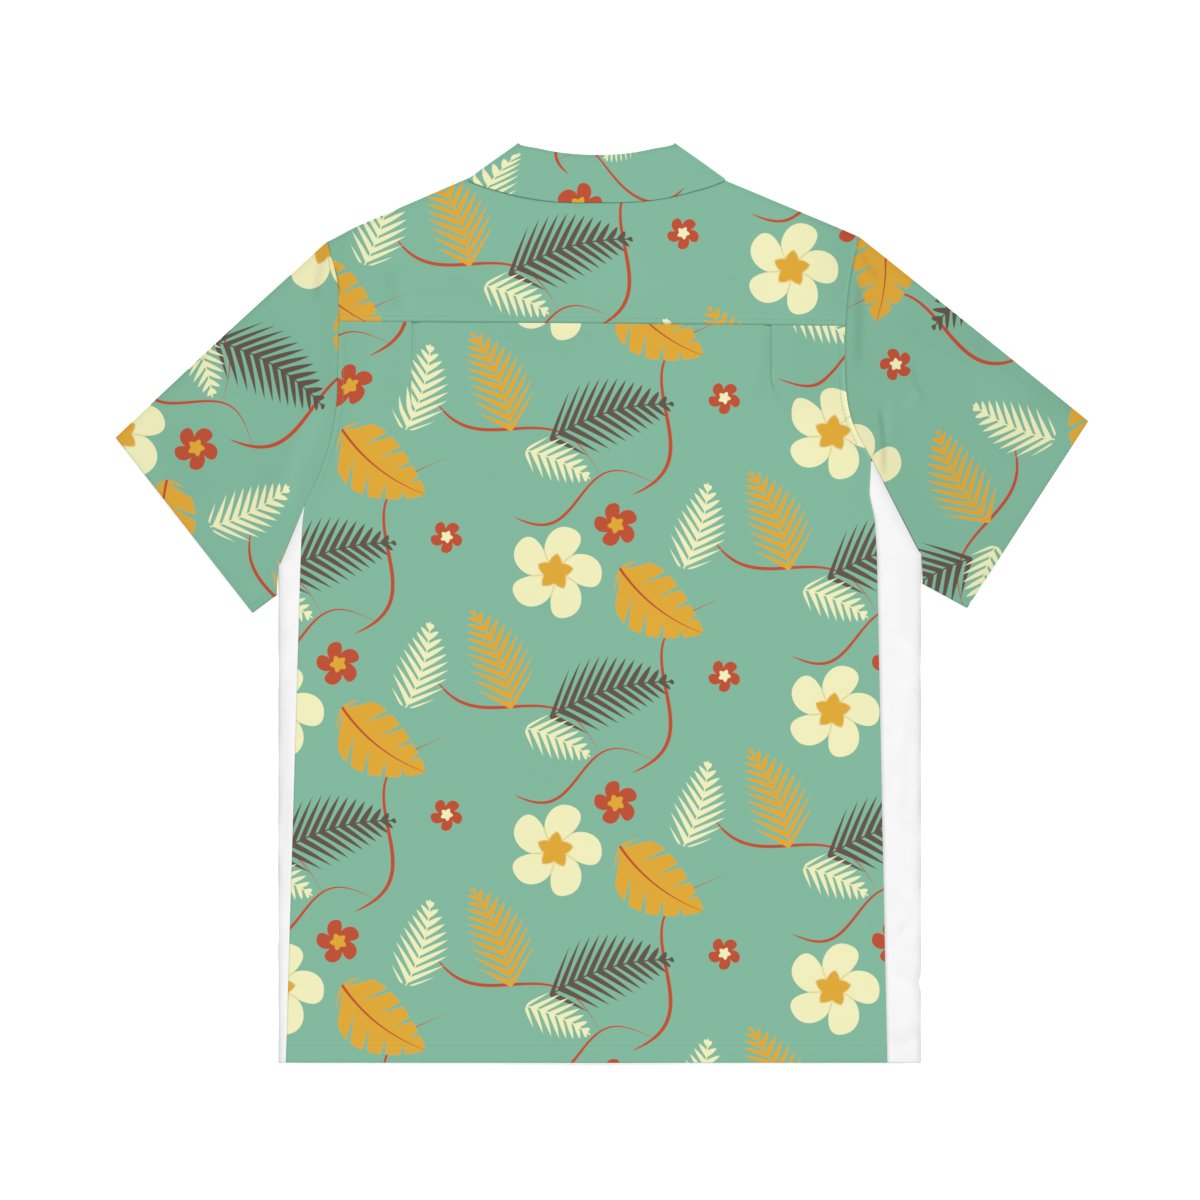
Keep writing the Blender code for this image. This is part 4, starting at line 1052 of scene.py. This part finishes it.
def make_yoke():
    """The yoke: up the back, over both shoulder folds and a little down the front."""
    places = shoulder_columns([0.0, 0.13, 0.3, 0.5, 0.72, 1.0, 1.5, 2.0])
    left, right = (yoke_shoulder(side, places) for side in SIDES)
    shares = np.linspace(0.96, 0.04, 24)
    neck = np.concatenate([neck_points(collar_back_station, shares, -1.0),
                           neck_points(collar_back_station, [0.0], 1.0),
                           neck_points(collar_back_station, shares[::-1], 1.0)])
    grid = yoke_back_rows(left[0], neck, right[0])
    x, y = grid[..., 0], grid[..., 1]
    from_top = np.linalg.norm(grid[-1:, :, :2] - grid[..., :2], axis=-1)
    # Painted shade: the places from the table, darker below the shoulder folds and the neck, and at
    # the armholes.
    shade = creases(BODY_SHADES, x, y) + rim(from_top, 3.4, 0.1) + armhole_shade(x)
    patches = [{"grid": grid, "flat": grid[..., :2] + YOKE_PRINT_SHIFT, "shade": shade}]
    for shoulder, order in ((left, 1), (right, -1)):
        over, cut = yoke_over(*shoulder)
        flat = cut[:, ::order] + YOKE_PRINT_SHIFT
        # The cloth round each shoulder fold and down the front is painted darker, as painted shade.
        patches.append({"grid": over[:, ::order], "flat": flat, "shade": -0.09})
    item = add_cloth("yoke_cloth", patches, "yoke")


# ---------------------------------------------------------------- collar and lapels
def collar_section(stand, leaf):
    """Points across the collar, as distance from the fold and side of it.

    It runs from the neck seam up the stand, round the fold and down the leaf.
    """
    turn = np.radians(np.linspace(-76.0, 76.0, 9))
    leaf_shares = spaced(50.0, 3.2, [(45.0, 5.0, 0.9)])
    inner = leaf * (1.0 - leaf_shares)
    full = welt(inner, 5.0, 0.16) + 0.12 * np.sin(np.pi * leaf_shares) - 0.22 * bell(inner, 2.0)
    out = np.concatenate([(stand - SEAM / 2) * np.linspace(1.0, 0.0, 8),
                          -FOLD_RADIUS * np.cos(turn), leaf * leaf_shares])
    side = np.concatenate([np.full(8, -FOLD_RADIUS), FOLD_RADIUS * np.sin(turn),
                           FOLD_RADIUS + full])
    return out, side


def collar_back_station(share):
    """Fold point, fall direction, stand and leaf at a share of the half width."""
    fall = heading(along_line(COLLAR_BACK_ANGLE, COLLAR_SIDE_ANGLE, share))
    edge = np.array([COLLAR_HALF * share, COLLAR_FOLD_Y + COLLAR_FOLD_RISE * share ** 2.2])
    stand = along_line(COLLAR_STAND_BACK, COLLAR_STAND_SIDE, share)
    leaf = along_line(COLLAR_LEAF_BACK, COLLAR_LEAF_SIDE, share ** 1.5)
    inset = (3 * PLY / 2 + WALL / 2) * smooth((share - 0.7) / 0.3)
    return edge + FOLD_INSET * fall - inset * quarter(fall), fall, stand, leaf


def collar_front_station(share):
    """The same down the front, as a share of the way from the neck to the gorge."""
    _, along, length = roll_line(1.0)
    point = collar_back_station(1.0)[0] + along * (length * GORGE - 2.0) * share
    turned = along_line(COLLAR_SIDE_ANGLE, COLLAR_FRONT_ANGLE, smooth(share * 2.0))
    fall = heading(turned + COLLAR_TIP_TURN * share ** 3)
    stand = along_line(COLLAR_STAND_SIDE, COLLAR_STAND_TIP, share)
    return point, fall, stand, along_line(COLLAR_LEAF_SIDE, COLLAR_LEAF_TIP, share)


def neck_points(station, shares, hand):
    """Points of the neck seam below the stand, on the body's side of it."""
    points = []
    for share in shares:
        point, fall, stand, _ = station(share)
        points.append(on_side(point + (stand + SEAM / 2) * fall, hand))
    return np.array(points)


def collar_row(station, share, turn=0.0):
    """One section of the right half; turn goes from 0 on the back to 180 on the front."""
    point, fall, stand, leaf = station(share)
    out, side = collar_section(stand, leaf)
    radius = (COLLAR_HIGH - COLLAR_LOW) / 2
    lean, rise = np.sin(np.radians(turn)), np.cos(np.radians(turn))
    aside = (radius + side) * lean
    flat = point + out[:, None] * fall + aside[:, None] * quarter(fall)
    return np.column_stack([flat, (COLLAR_HIGH + COLLAR_LOW) / 2 + (radius + side) * rise])


def make_collar():
    """One sheet folded over its stand, round the whole neck."""
    front = spaced(74.0, 3.2, [(70.0, 4.0, 1.0)])[::-1]
    side_turns = np.linspace(165.0, 15.0, 11)
    right = [collar_row(collar_front_station, share, 180.0) for share in front]
    right += [collar_row(collar_back_station, 1.0, turn) for turn in side_turns]
    right += [collar_row(collar_back_station, share) for share in np.linspace(1.0, 0.025, 40)]
    centre = [collar_row(collar_back_station, 0.0)]
    grid = np.array(right + centre + [row * (-1.0, 1.0, 1.0) for row in right[::-1]])
    grid[..., 0] += CENTRE_X
    along = lengths(grid[:, -12])[:, None] + 60.0
    across = 20.0 - lengths(grid[len(grid) // 2])
    flat = np.stack(np.broadcast_arrays(along, across), axis=-1)

    def distance_to(points):
        return np.linalg.norm(grid - points, axis=-1)

    turned = len(front) + len(side_turns) // 2
    from_side = np.minimum(distance_to(grid[turned]), distance_to(grid[-1 - turned]))
    # Painted shade along the fold and round the sides, and a painted highlight along the leaf's
    # edge.
    shade = rim(distance_to(grid[:, 12:13]), 2.2, 0.2) + rim(from_side, 3.4, 0.26)
    shade = shade - rim(distance_to(grid[:, -1:]), 1.9, 0.15)
    patch = {"grid": grid, "flat": flat, "shade": shade}
    item = add_cloth("collar_cloth", [patch], "collar", flipped=True)


def make_lapel(side):
    """The turned-out top of one front, from the gorge down to the V."""
    hand = SIDES[side]["hand"]
    start, along, length = roll_line(hand)
    out_way = quarter(along) * hand
    turn = np.radians(np.linspace(-70.0, 70.0, 7))
    rows, cut = [], []
    for share in np.linspace(LAPEL_START, LAPEL_END, 26):
        top = (LAPEL_END - share) / (LAPEL_END - GORGE)
        point = start + along * length * share + out_way * FOLD_INSET
        tilt = np.radians(LAPEL_TURN) * top ** 3
        fall = unit(out_way * np.cos(tilt) + along * np.sin(tilt))
        radius = (front_level(hand, *point) - FLOOR) / 2
        leaf = lapel_width(share) * np.linspace(0.0, 1.0, 12)
        out = np.concatenate([[-SEAM / 3], -radius * np.cos(turn), leaf])
        lean = np.concatenate([[-radius], radius * np.sin(turn), radius + 0.0 * leaf])
        row = np.column_stack([point + out[:, None] * fall, FLOOR + radius - lean])
        rows.append(row)
        cut.append(np.column_stack([lengths(row), np.full(len(row), -length * share)]))
    patch = {"grid": np.array(rows), "flat": np.array(cut)}
    item = add_cloth("lapel_" + side + "_cloth", [patch], "lapel_" + side, flipped=hand < 0)


# ---------------------------------------------------------------- fronts
def fold_middle(side):
    """X of the middle of the side fold's bend."""
    return SIDES[side]["fold_x"] - SIDES[side]["hand"] * FOLD_INSET


def front_body(side, shares):
    """The front below the underarm: placket, round the side fold, to the side seam."""
    data = SIDES[side]
    hand, fold_x = data["hand"], fold_middle(side)
    nick_y, nick_depth = data["nick"]
    turns = np.radians(np.linspace(15.0, 180.0, 12))
    fold = fold_x + hand * FOLD_RADIUS * np.sin(turns)
    fold_z = (BACK_LEVEL + FLOOR) / 2 - FOLD_RADIUS * np.cos(turns)
    rows, cut = [], []
    for seam_x, y in straight_runs(BACK_EDGE[side][:UNDERARM_ROW + 1], shares):
        start = front_inner_x(hand, y)
        inner = along_line(start, fold_x, FRONT_SHARES)
        strip = along_line(fold_x - hand * 0.5, seam_x + hand * JOIN, STRIP_SHARES)
        strip_z = back_level(strip, y) + strip_relief(strip, y, seam_x)
        x = np.concatenate([inner, fold, strip])
        z = np.concatenate([front_surface(hand, inner, y, start), fold_z, strip_z])
        nick = nick_depth * bell(y - nick_y, 4.5) + 0.25 * uneven(0.0, y, 46.0, 37)
        nick = nick * smooth((hand * (x - fold_x) + 9.0) / 9.0) * smooth((y - HEM_Y) / 20.0)
        row = points_at(x - hand * nick, y, z)
        rows.append(row)
        cut.append(np.column_stack([hand * lengths(row[:, [0, 2]]), row[:, 1]]))
    grid = np.array(rows)
    x, y = grid[..., 0], grid[..., 1]
    printed = hand * (fold_x - x) - MARGIN
    printed[:, len(FRONT_SHARES):] = -MARGIN
    # Painted shade on the bare strip: darker at its fold, by a strength that varies up it, and at
    # the hem, with the places from the table and slight patchiness. The printed part gets none.
    fold_shade_strength = 1.0 + 0.3 * uneven(0.0 * y, y, 70.0, 33)
    shade = rim(np.abs(data["fold_x"] - x), *STRIP_RIM) * fold_shade_strength + creases(STRIP_SHADES, x, y)
    shade = shade + rim(y - HEM_Y, 2.0, 0.04) + 0.012 * uneven(x, y, 24.0, 35)
    shade[:, :len(FRONT_SHARES)] = 0.0
    return {"grid": grid, "flat": np.array(cut), "printed": printed, "shade": shade}


def front_surface(hand, x, y, inner_x):
    """Middle of a front's wall, with troughs only in its relief: it lies on its face."""
    stitched = bell(np.abs(x - inner_x) - PLACKET_WIDTH, 0.9) + bell(y - HEM_Y - HEM_DEPTH, 0.9)
    soft = 0.1 * np.clip(uneven(x, y, 90.0, 21 + int(hand)), 0.0, 1.0)
    return front_level(hand, x, y) + soft + creases(FRONT_CREASES, x, y) + STITCH_DEPTH * stitched


def strip_relief(x, y, seam_x):
    """Relief of the bare strip: the seam allowance, its edge, creases and the hem."""
    rippled = 0.16 * uneven(x, y, 26.0, 31) + 0.08 * uneven(x, y, 11.0, 32)
    folded_in = smooth(np.abs(x - seam_x) / 6.0)
    return (rippled + creases(STRIP_CREASES, x, y)) * folded_in + 0.5 * hem_welt(x, y)


def front_upper(side, body_row, flat_row):
    """The front above the underarm, up to the yoke and the neck, as a grid and flat cut."""
    hand, underarm_y = SIDES[side]["hand"], SIDES[side]["underarm_y"]
    neck = neck_points(collar_front_station, np.linspace(1.0, FRONT_NECK_END, 12), hand)
    heights = np.concatenate([np.arange(underarm_y, PLACKET_TOP_Y, 4.0),
                              np.linspace(PLACKET_TOP_Y, neck[0, 1], 16)[:-1]])
    gap = np.where(heights > V_POINT_Y - 1.0, FOLD_INSET / 0.9 + SEAM * 0.8, 0.0)
    inner = np.column_stack([front_inner_x(hand, heights) + hand * gap, heights])
    inner = np.concatenate([inner, neck])
    outer = np.vstack([(fold_middle(side), underarm_y),
                       on_side(FRONT_ARMHOLE, hand) - (hand * JOIN, 0.0),
                       front_yoke_seam(side)[0] - (hand * JOIN, JOIN)])
    outer = curve(outer, np.linspace(0.0, 1.0, len(inner)))
    rows, cut = [body_row], [flat_row]
    for start, end in list(zip(inner, outer))[1:]:
        width = abs(end[0] - start[0])
        x = along_line(start[0], end[0], FRONT_SHARES)
        level_run = 45.0 * (1.0 - smooth((start[1] - PLACKET_TOP_Y) / 50.0))
        share = np.clip((np.abs(x - start[0]) - level_run) / (width - level_run), 0.0, 1.0)
        y = start[1] + (end[1] - start[1]) * share
        rows.append(np.column_stack([x, y, front_surface(hand, x, y, start[0])]))
        cut.append(np.column_stack([hand * np.abs(x - front_inner_x(hand, underarm_y)), y]))
    grid = np.array(rows)
    printed = hand * (fold_middle(side) - grid[..., 0]) - MARGIN
    printed = printed + 0.6 * (grid[..., 1] - underarm_y)
    return {"grid": grid, "flat": np.array(cut), "printed": printed}


def front_wedge(side, body_row):
    """The strip's pointed top on the back, from the underarm up to the armhole's start."""
    data = SIDES[side]
    hand = data["hand"]
    edge = BACK_EDGE[side][UNDERARM_ROW:ARMHOLE_ROW + 1]
    low, high = body_row[0, :2], edge[-1]
    # Painted shade: darker at the strip's fold and at the wedge's outer edge, slightly patchy.
    rows, shades = [body_row], [rim(np.abs(data["fold_x"] - body_row[:, 0]), *STRIP_RIM)]
    for seam_x, y in straight_runs(edge, np.linspace(0.0, 0.97, 20))[1:]:
        share = (y - low[1]) / (high[1] - low[1])
        outer = low[0] + (high[0] - low[0]) * share - hand * JOIN
        x = along_line(outer, seam_x + hand * JOIN, STRIP_SHARES)
        level = back_level(x, y) + strip_relief(x, y, seam_x) * (1.0 - share)
        rows.append(points_at(x, y, level))
        shades.append(rim(np.abs(outer - x), 6.5, 0.14))
    grid = np.array(rows)
    shade = np.array(shades) + 0.012 * uneven(grid[..., 0], grid[..., 1], 24.0, 35)
    return {"grid": grid, "flat": grid[..., :2], "printed": -MARGIN, "shade": shade}


def make_front(side):
    """One front: placket, round the side fold and on to the back's side seam."""
    body = front_body(side, spaced(422.0, 4.2, HEM_FINE))
    inner = slice(None, len(FRONT_SHARES))
    upper = front_upper(side, body["grid"][-1, inner], body["flat"][-1, inner])
    wedge = front_wedge(side, body["grid"][-1, -len(STRIP_SHARES):])
    item = add_cloth("front_" + side + "_cloth", [body, upper, wedge], "front_" + side,
                     flipped=side == "right")


# ---------------------------------------------------------------- sleeves
def sleeve_armhole(side):
    """The armhole as the sleeve's two plies have it, shoulder to underarm, and the fold's way."""
    data = SIDES[side]
    hand = data["hand"]
    gap = (hand * JOIN, 0.0)
    notch = np.array([data["fold_x"] + hand * 0.6, data["notch_y"]])
    low_way = -upright(notch - data["cuff_low"])
    high = shoulder_corner(side) + gap
    low = notch - FOLD_INSET * low_way + gap
    above_fold = (data["fold_x"] - hand * (FOLD_INSET - 0.15), data["underarm_y"] + 0.7)
    beside_fold = np.array([data["fold_x"] + hand * 0.2, data["underarm_y"] - 0.5])
    back = [YOKE_EDGE[side][1], *BACK_EDGE[side][:ARMHOLE_ROW - 1:-1]]
    under = [front_yoke_seam(side)[0], *on_side(FRONT_ARMHOLE, hand)[::-1]]
    reach = np.linalg.norm(low - beside_fold)
    last = between(beside_fold, low, spaced(reach, 3.0, [(reach - 6.0, 4.0, 0.8)]))
    plies = []
    for line in (back, under):
        line = np.vstack([high, np.array(line) + gap])
        rounded = curve(line, spaced(lengths(line)[-1], 3.6, [(2.0, 2.0, 0.9)]))
        straight = between(line[-1], above_fold, np.linspace(0.0, 1.0, 15))[1:]
        plies.append(np.concatenate([rounded, straight, last]))
    return plies, low_way


def sleeve_fold(start, end, way):
    """The rounded turn of the cloth between two plies."""
    middle, radius = (start + end) / 2, (start[2] - end[2]) / 2
    flat = middle[:2] + np.sin(FOLD_TURNS)[:, None] * abs(radius) * way
    return np.column_stack([flat, middle[2] + radius * np.cos(FOLD_TURNS)])


def make_sleeve(side):
    """A sleeve pressed flat: a tube from the armhole to the cuff, open at both ends."""
    data = SIDES[side]
    hand = data["hand"]
    (top, under), low_way = sleeve_armhole(side)
    top_way = sleeve_top_way(side)
    cuff_high, cuff_low = np.array(data["cuff_top"]), np.array(data["cuff_low"])
    cuff_way = unit(cuff_low - cuff_high)
    cuff_high, cuff_low = cuff_high + FOLD_INSET * cuff_way, cuff_low - FOLD_INSET * cuff_way
    out_way = quarter(cuff_way)
    out_way = out_way * np.sign(out_way[0] * hand)
    shares_top, shares_under = (lengths(line) / lengths(line)[-1] for line in (top, under))
    fold_start = shoulder_corner(side)
    fold_way = unit(cuff_high - fold_start)
    aside_way = quarter(fold_way) * -hand
    low_edge = (top[-1] + cuff_low) / 2
    rise = back_level(*top.T) - BACK_LEVEL

    def shade_of(flat):
        """Painted shade: soft darker and lighter places, darkening at all the sleeve's edges where
        they round off, and a darker band along the underarm seam.
        """
        from_top = (fold_start - flat) @ top_way + FOLD_RADIUS
        from_low = (low_edge - flat) @ low_way + FOLD_RADIUS
        shade = creases(SLEEVE_SHADES, *flat.T) + rim(from_top, 3.6, 0.1)
        shade = shade + rim(from_low, 2.2, 0.08) + rim((cuff_high - flat) @ out_way, 2.6, 0.08)
        return shade - 0.07 * bell(from_low - 5.2, 1.0)

    halves = {1.0: ([], [], []), -1.0: ([], [], [])}
    cuff_fine = [(SLEEVE_LENGTH - CUFF_DEPTH, 3.6, 0.9), (SLEEVE_LENGTH - 1.5, 1.5, 0.7)]
    for share in spaced(SLEEVE_LENGTH, 3.8, cuff_fine):
        plies = []
        for line, shares in ((top, shares_top), (under, shares_under)):
            cuff = between(cuff_high, cuff_low, shares)
            bulge = data["bow"] * np.sin(np.pi * share) * (1.0 - smooth(shares / 0.5))
            plies.append(line * (1.0 - share) + cuff * share + bulge[:, None] * top_way)
        upper, lower = plies
        swell = SLEEVE_SWELL * np.sin(np.pi * shares_top) * smooth(share * 3.0)
        pressed = STITCH_DEPTH * bell((cuff_high - lower) @ out_way - CUFF_DEPTH, 0.9)
        upper = np.column_stack([upper, BACK_LEVEL + rise * (1.0 - share) ** 2 + swell])
        lower = np.column_stack([lower, FLOOR + pressed])
        low_fold = sleeve_fold(upper[-1], lower[-1], low_way)
        high_fold = sleeve_fold(lower[0], upper[0], top_way)
        for turned, parts in ((1.0, [upper, low_fold, lower[-1:]]),
                              (-1.0, [lower[::-1], high_fold, upper[:1]])):
            strip = np.concatenate(parts)
            off = strip[:, :2] - fold_start
            rows, cut, shades = halves[turned]
            rows.append(strip)
            cut.append(np.column_stack([turned * (off @ aside_way), -(off @ fold_way)]))
            shades.append(shade_of(strip[:, :2]))
    patches = []
    for rows, cut, shades in halves.values():
        flat = np.array(cut) + (40.0 * hand, 30.0)
        patches.append({"grid": np.array(rows), "flat": flat, "shade": np.array(shades)})
    item = add_cloth("sleeve_" + side + "_cloth", patches, "sleeve_" + side, flipped=hand < 0,
                     painted_shade_and_dye=data["painted_shade_and_dye"])


# ---------------------------------------------------------------- stitches
def stitch_line(path, long, pitch, radius):
    """Points and faces of a row of stitches along a path of surface points.

    Each stitch is a six-sided spindle that lies along the path.
    """
    along = lengths(path)
    middles = np.arange(pitch, along[-1] - pitch / 2, pitch)
    at, ahead = (np.column_stack([np.interp(places, along, column) for column in path.T])
                 for places in (middles, middles + long / 2))
    way = ahead - at
    way = way / np.linalg.norm(way, axis=1)[:, None]
    side = np.cross(way, (0.0, 0.0, 1.0))
    side = side / np.linalg.norm(side, axis=1)[:, None]
    up = np.cross(side, way)
    turns = np.linspace(0.0, 2.0 * np.pi, 6, endpoint=False)[:, None]
    around = side[:, None] * np.cos(turns) + up[:, None] * np.sin(turns)
    rings = []
    for offset, size in ((-0.5, 0.25), (-0.3, 1.0), (0.3, 1.0), (0.5, 0.25)):
        rings.append(at[:, None] + way[:, None] * offset * long + around * radius * size)
    ring = np.append(np.arange(6), 0)
    walls = grid_faces(ring + 6 * np.arange(4)[:, None])[:, ::-1]
    ends = [[0, 1, 2, 3], [0, 3, 4, 5], [21, 20, 19, 18], [23, 22, 21, 18]]
    faces = np.concatenate([walls, ends]) + 24 * np.arange(len(middles))[:, None, None]
    return np.concatenate(rings, axis=1).reshape(-1, 3), faces.reshape(-1, 4)


def add_stitches(name, paths, thread, long=2.6, pitch=3.4, radius=0.16):
    """Rows of stitches along paths of surface points, as one piece."""
    points, faces, first = [], [], 0
    for path in paths:
        some, square = stitch_line(path, long, pitch, radius)
        points.append(some)
        faces.append(square + first)
        first += len(some)
    add_mesh(name, np.concatenate(points), np.concatenate(faces), [thread])


def make_stitches():
    """All the rows of topstitching: on the print, and in white on the bare strips."""
    top = WALL / 2 + 0.02
    hem_y = HEM_Y + HEM_DEPTH - 0.8
    paths, pale_paths = [], []
    x = np.arange(YOKE_EDGE["left"][0, 0] + 2.0, YOKE_EDGE["right"][0, 0] - 2.0, 1.0)
    for inset in (1.4, 4.6):
        y = seam_y(x) + inset
        paths.append(points_at(x, y, yoke_surface(x, y) + top))
    x = np.arange(BACK_EDGE["left"][0, 0] + 1.0, BACK_EDGE["right"][0, 0] - 1.0, 1.0)
    paths.append(points_at(x, hem_y, back_level(x, hem_y) + back_relief(x, hem_y) + top))
    for side, data in SIDES.items():
        hand = data["hand"]
        seam_x = BACK_EDGE[side][0, 0]
        x = np.arange(abs(seam_x) + 0.6, abs(data["fold_x"]) - 0.6, 0.5) * hand
        z = back_level(x, hem_y) + strip_relief(x, hem_y, seam_x) + top - 0.08
        pale_paths.append(points_at(x, hem_y, z))
        line = curve(BACK_EDGE[side][ARMHOLE_ROW:], np.linspace(0.1, 0.97, 140))
        x, y = line.T - [[hand * ARMHOLE_STITCHING], [0.0]]
        z = back_level(x, y) + back_relief(x, y, ARMHOLE_STITCHING)
        paths.append(points_at(x, y, z + edge_welt(y, ARMHOLE_STITCHING) + top))
        inner = front_inner_x(hand, 0.0)
        y = np.arange(HEM_Y + 2.0, PLACKET_TOP_Y - 2.0, 1.0)
        for inset in (2.0, PLACKET_WIDTH - 0.4):
            x = inner + hand * inset
            paths.append(points_at(x, y, front_surface(hand, x, y, inner) - top))
        x = inner + np.arange(4.0, abs(data["fold_x"] - inner) - 8.0, 1.0) * hand
        y = HEM_Y + HEM_DEPTH
        paths.append(points_at(x, y, front_surface(hand, x, y, inner) - top))
    add_stitches("topstitching", paths, THREAD)
    add_stitches("strip_stitching", pale_paths, PALE_THREAD)
    add_stitches("buttonhole_stitching", buttonhole_paths(), THREAD, 1.3, 1.2, 0.22)


def buttonhole_paths():
    """Both worked edges of each upright buttonhole, on the lower face of the left placket."""
    paths = []
    for centre in button_heights():
        y = np.arange(centre - BUTTONHOLE_HALF, centre + BUTTONHOLE_HALF + 0.1, 0.7)
        for aside in (-0.55, 0.55):
            x = CENTRE_X + aside
            z = front_surface(-1.0, x, y, front_inner_x(-1.0, y)) - WALL / 2 - 0.04
            paths.append(points_at(x, y, z))
    return paths


# ---------------------------------------------------------------- buttons
def make_button(name, node, y):
    """A four-hole button lying face down: rounded rim, shallow dish, sunk holes.

    Its surface is a disc grid, radius by angle, whose height follows the rim's and
    dish's profile and sinks at each of the four holes.
    """
    turns = np.linspace(0.0, 2.0 * np.pi, 72, endpoint=False)
    radii = np.append(np.linspace(0.0, 3.1, 26), [3.4, 3.8, 4.1, 4.4, 4.9, 5.3, 5.6, BUTTON_RADIUS])
    face = np.interp(radii, [3.1, 3.5, 4.1, 4.8, 5.3, 5.6, BUTTON_RADIUS],
                     [0.5, 0.36, 0.03, 0.0, 0.08, 0.28, 0.6])
    behind = np.array([(BUTTON_RADIUS, 1.1), (5.6, 1.45), (5.2, 1.7), (4.6, BUTTON_HEIGHT),
                       (0.0, BUTTON_HEIGHT)])
    profile = np.concatenate([np.column_stack([radii, face]), behind])[..., None]
    x, up = profile[:, 0] * np.cos(turns), profile[:, 0] * np.sin(turns)
    height = profile[:, 1] + 0.0 * x
    hole = np.hypot(np.abs(x) - HOLE_OFFSET, np.abs(up) - HOLE_OFFSET)[:len(radii)]
    height[:len(radii)] += HOLE_DEPTH * (1.0 - smooth((hole - HOLE_RADIUS) / 0.16))
    grid = np.stack([CENTRE_X + x, y + up, height], axis=-1)
    number = np.arange(x.size).reshape(x.shape)
    quads = grid_faces(np.concatenate([number, number[:, :1]], axis=1))
    item = add_mesh(name, grid.reshape(-1, 3), quads, [RESIN])
    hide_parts(node)


def make_button_threads():
    """Thread through the holes of every button: two short parallel strands each."""
    reach = np.linspace(-1.5, 1.5, 7)
    sag = 0.3 + 0.5 * (np.abs(reach) / 1.5) ** 3
    paths = []
    for y in button_heights():
        for aside in (-HOLE_OFFSET, HOLE_OFFSET):
            paths.append(points_at(CENTRE_X + reach, y + aside, sag))
    add_stitches("button_threads", paths, THREAD, 2.4, 1.5, 0.28)


# ---------------------------------------------------------------- studio
def make_studio():
    """A plain white floor, an even sky and one large soft light from above the collar."""
    scene = bpy.context.scene
    mesh = bpy.data.meshes.new("floor")
    corners = [(-6.0, -6.0), (6.0, -6.0), (6.0, 6.0), (-6.0, 6.0)]
    mesh.from_pydata([(x, y, -0.0004) for x, y in corners], [], [(0, 1, 2, 3)])
    floor = bpy.data.objects.new("floor", mesh)
    scene.collection.objects.link(floor)
    graph = Graph("pale_floor")
    grain = graph.add("TexNoise", "Fac", Vector=graph.add("TexCoord", "Object"), Scale=3.0)
    colour = graph.mix(grain, (0.93, 0.93, 0.93, 1.0), (0.96, 0.96, 0.96, 1.0))
    graph.shade(Base_Color=colour, Roughness=0.9, Specular_IOR_Level=0.0,
                Emission_Color=(1.0, 1.0, 1.0, 1.0), Emission_Strength=0.4)
    mesh.materials.append(graph.material)
    world = bpy.data.worlds.new("studio")
    world.use_nodes = True
    sky = world.node_tree.nodes["Background"].inputs
    sky["Color"].default_value = (1.0, 1.0, 1.0, 1.0)
    sky["Strength"].default_value = 0.63
    scene.world = world
    lamp = bpy.data.lights.new("soft_light", "SUN")
    lamp.energy = 1.84
    lamp.angle = np.radians(36.0)
    box = bpy.data.objects.new("soft_light", lamp)
    box.rotation_euler = np.radians((38.0, 0.0, 157.0))
    scene.collection.objects.link(box)
    scene.view_settings.view_transform = "Standard"


def make_camera():
    """A camera straight above the shirt, far enough away to see it without perspective."""
    data = bpy.data.cameras.new("camera")
    data.sensor_width = 36.0
    data.clip_end = 60.0
    height, across = 6.0, 1.02
    data.lens = data.sensor_width * height / across
    camera = bpy.data.objects.new("camera", data)
    camera.location = (-0.0017, 0.0023, height)
    bpy.context.scene.collection.objects.link(camera)
    bpy.context.scene.camera = camera


def main():
    """Dresses the frame, then sets up the studio."""
    make_back()
    make_yoke()
    for side in SIDES:
        make_front(side)
        make_sleeve(side)
        make_lapel(side)
    make_collar()
    make_stitches()
    for number, y in enumerate(button_heights(), start=1):
        make_button("button_%d_resin" % number, "button_%d" % number, y)
    make_button_threads()
    make_studio()
    make_camera()


main()
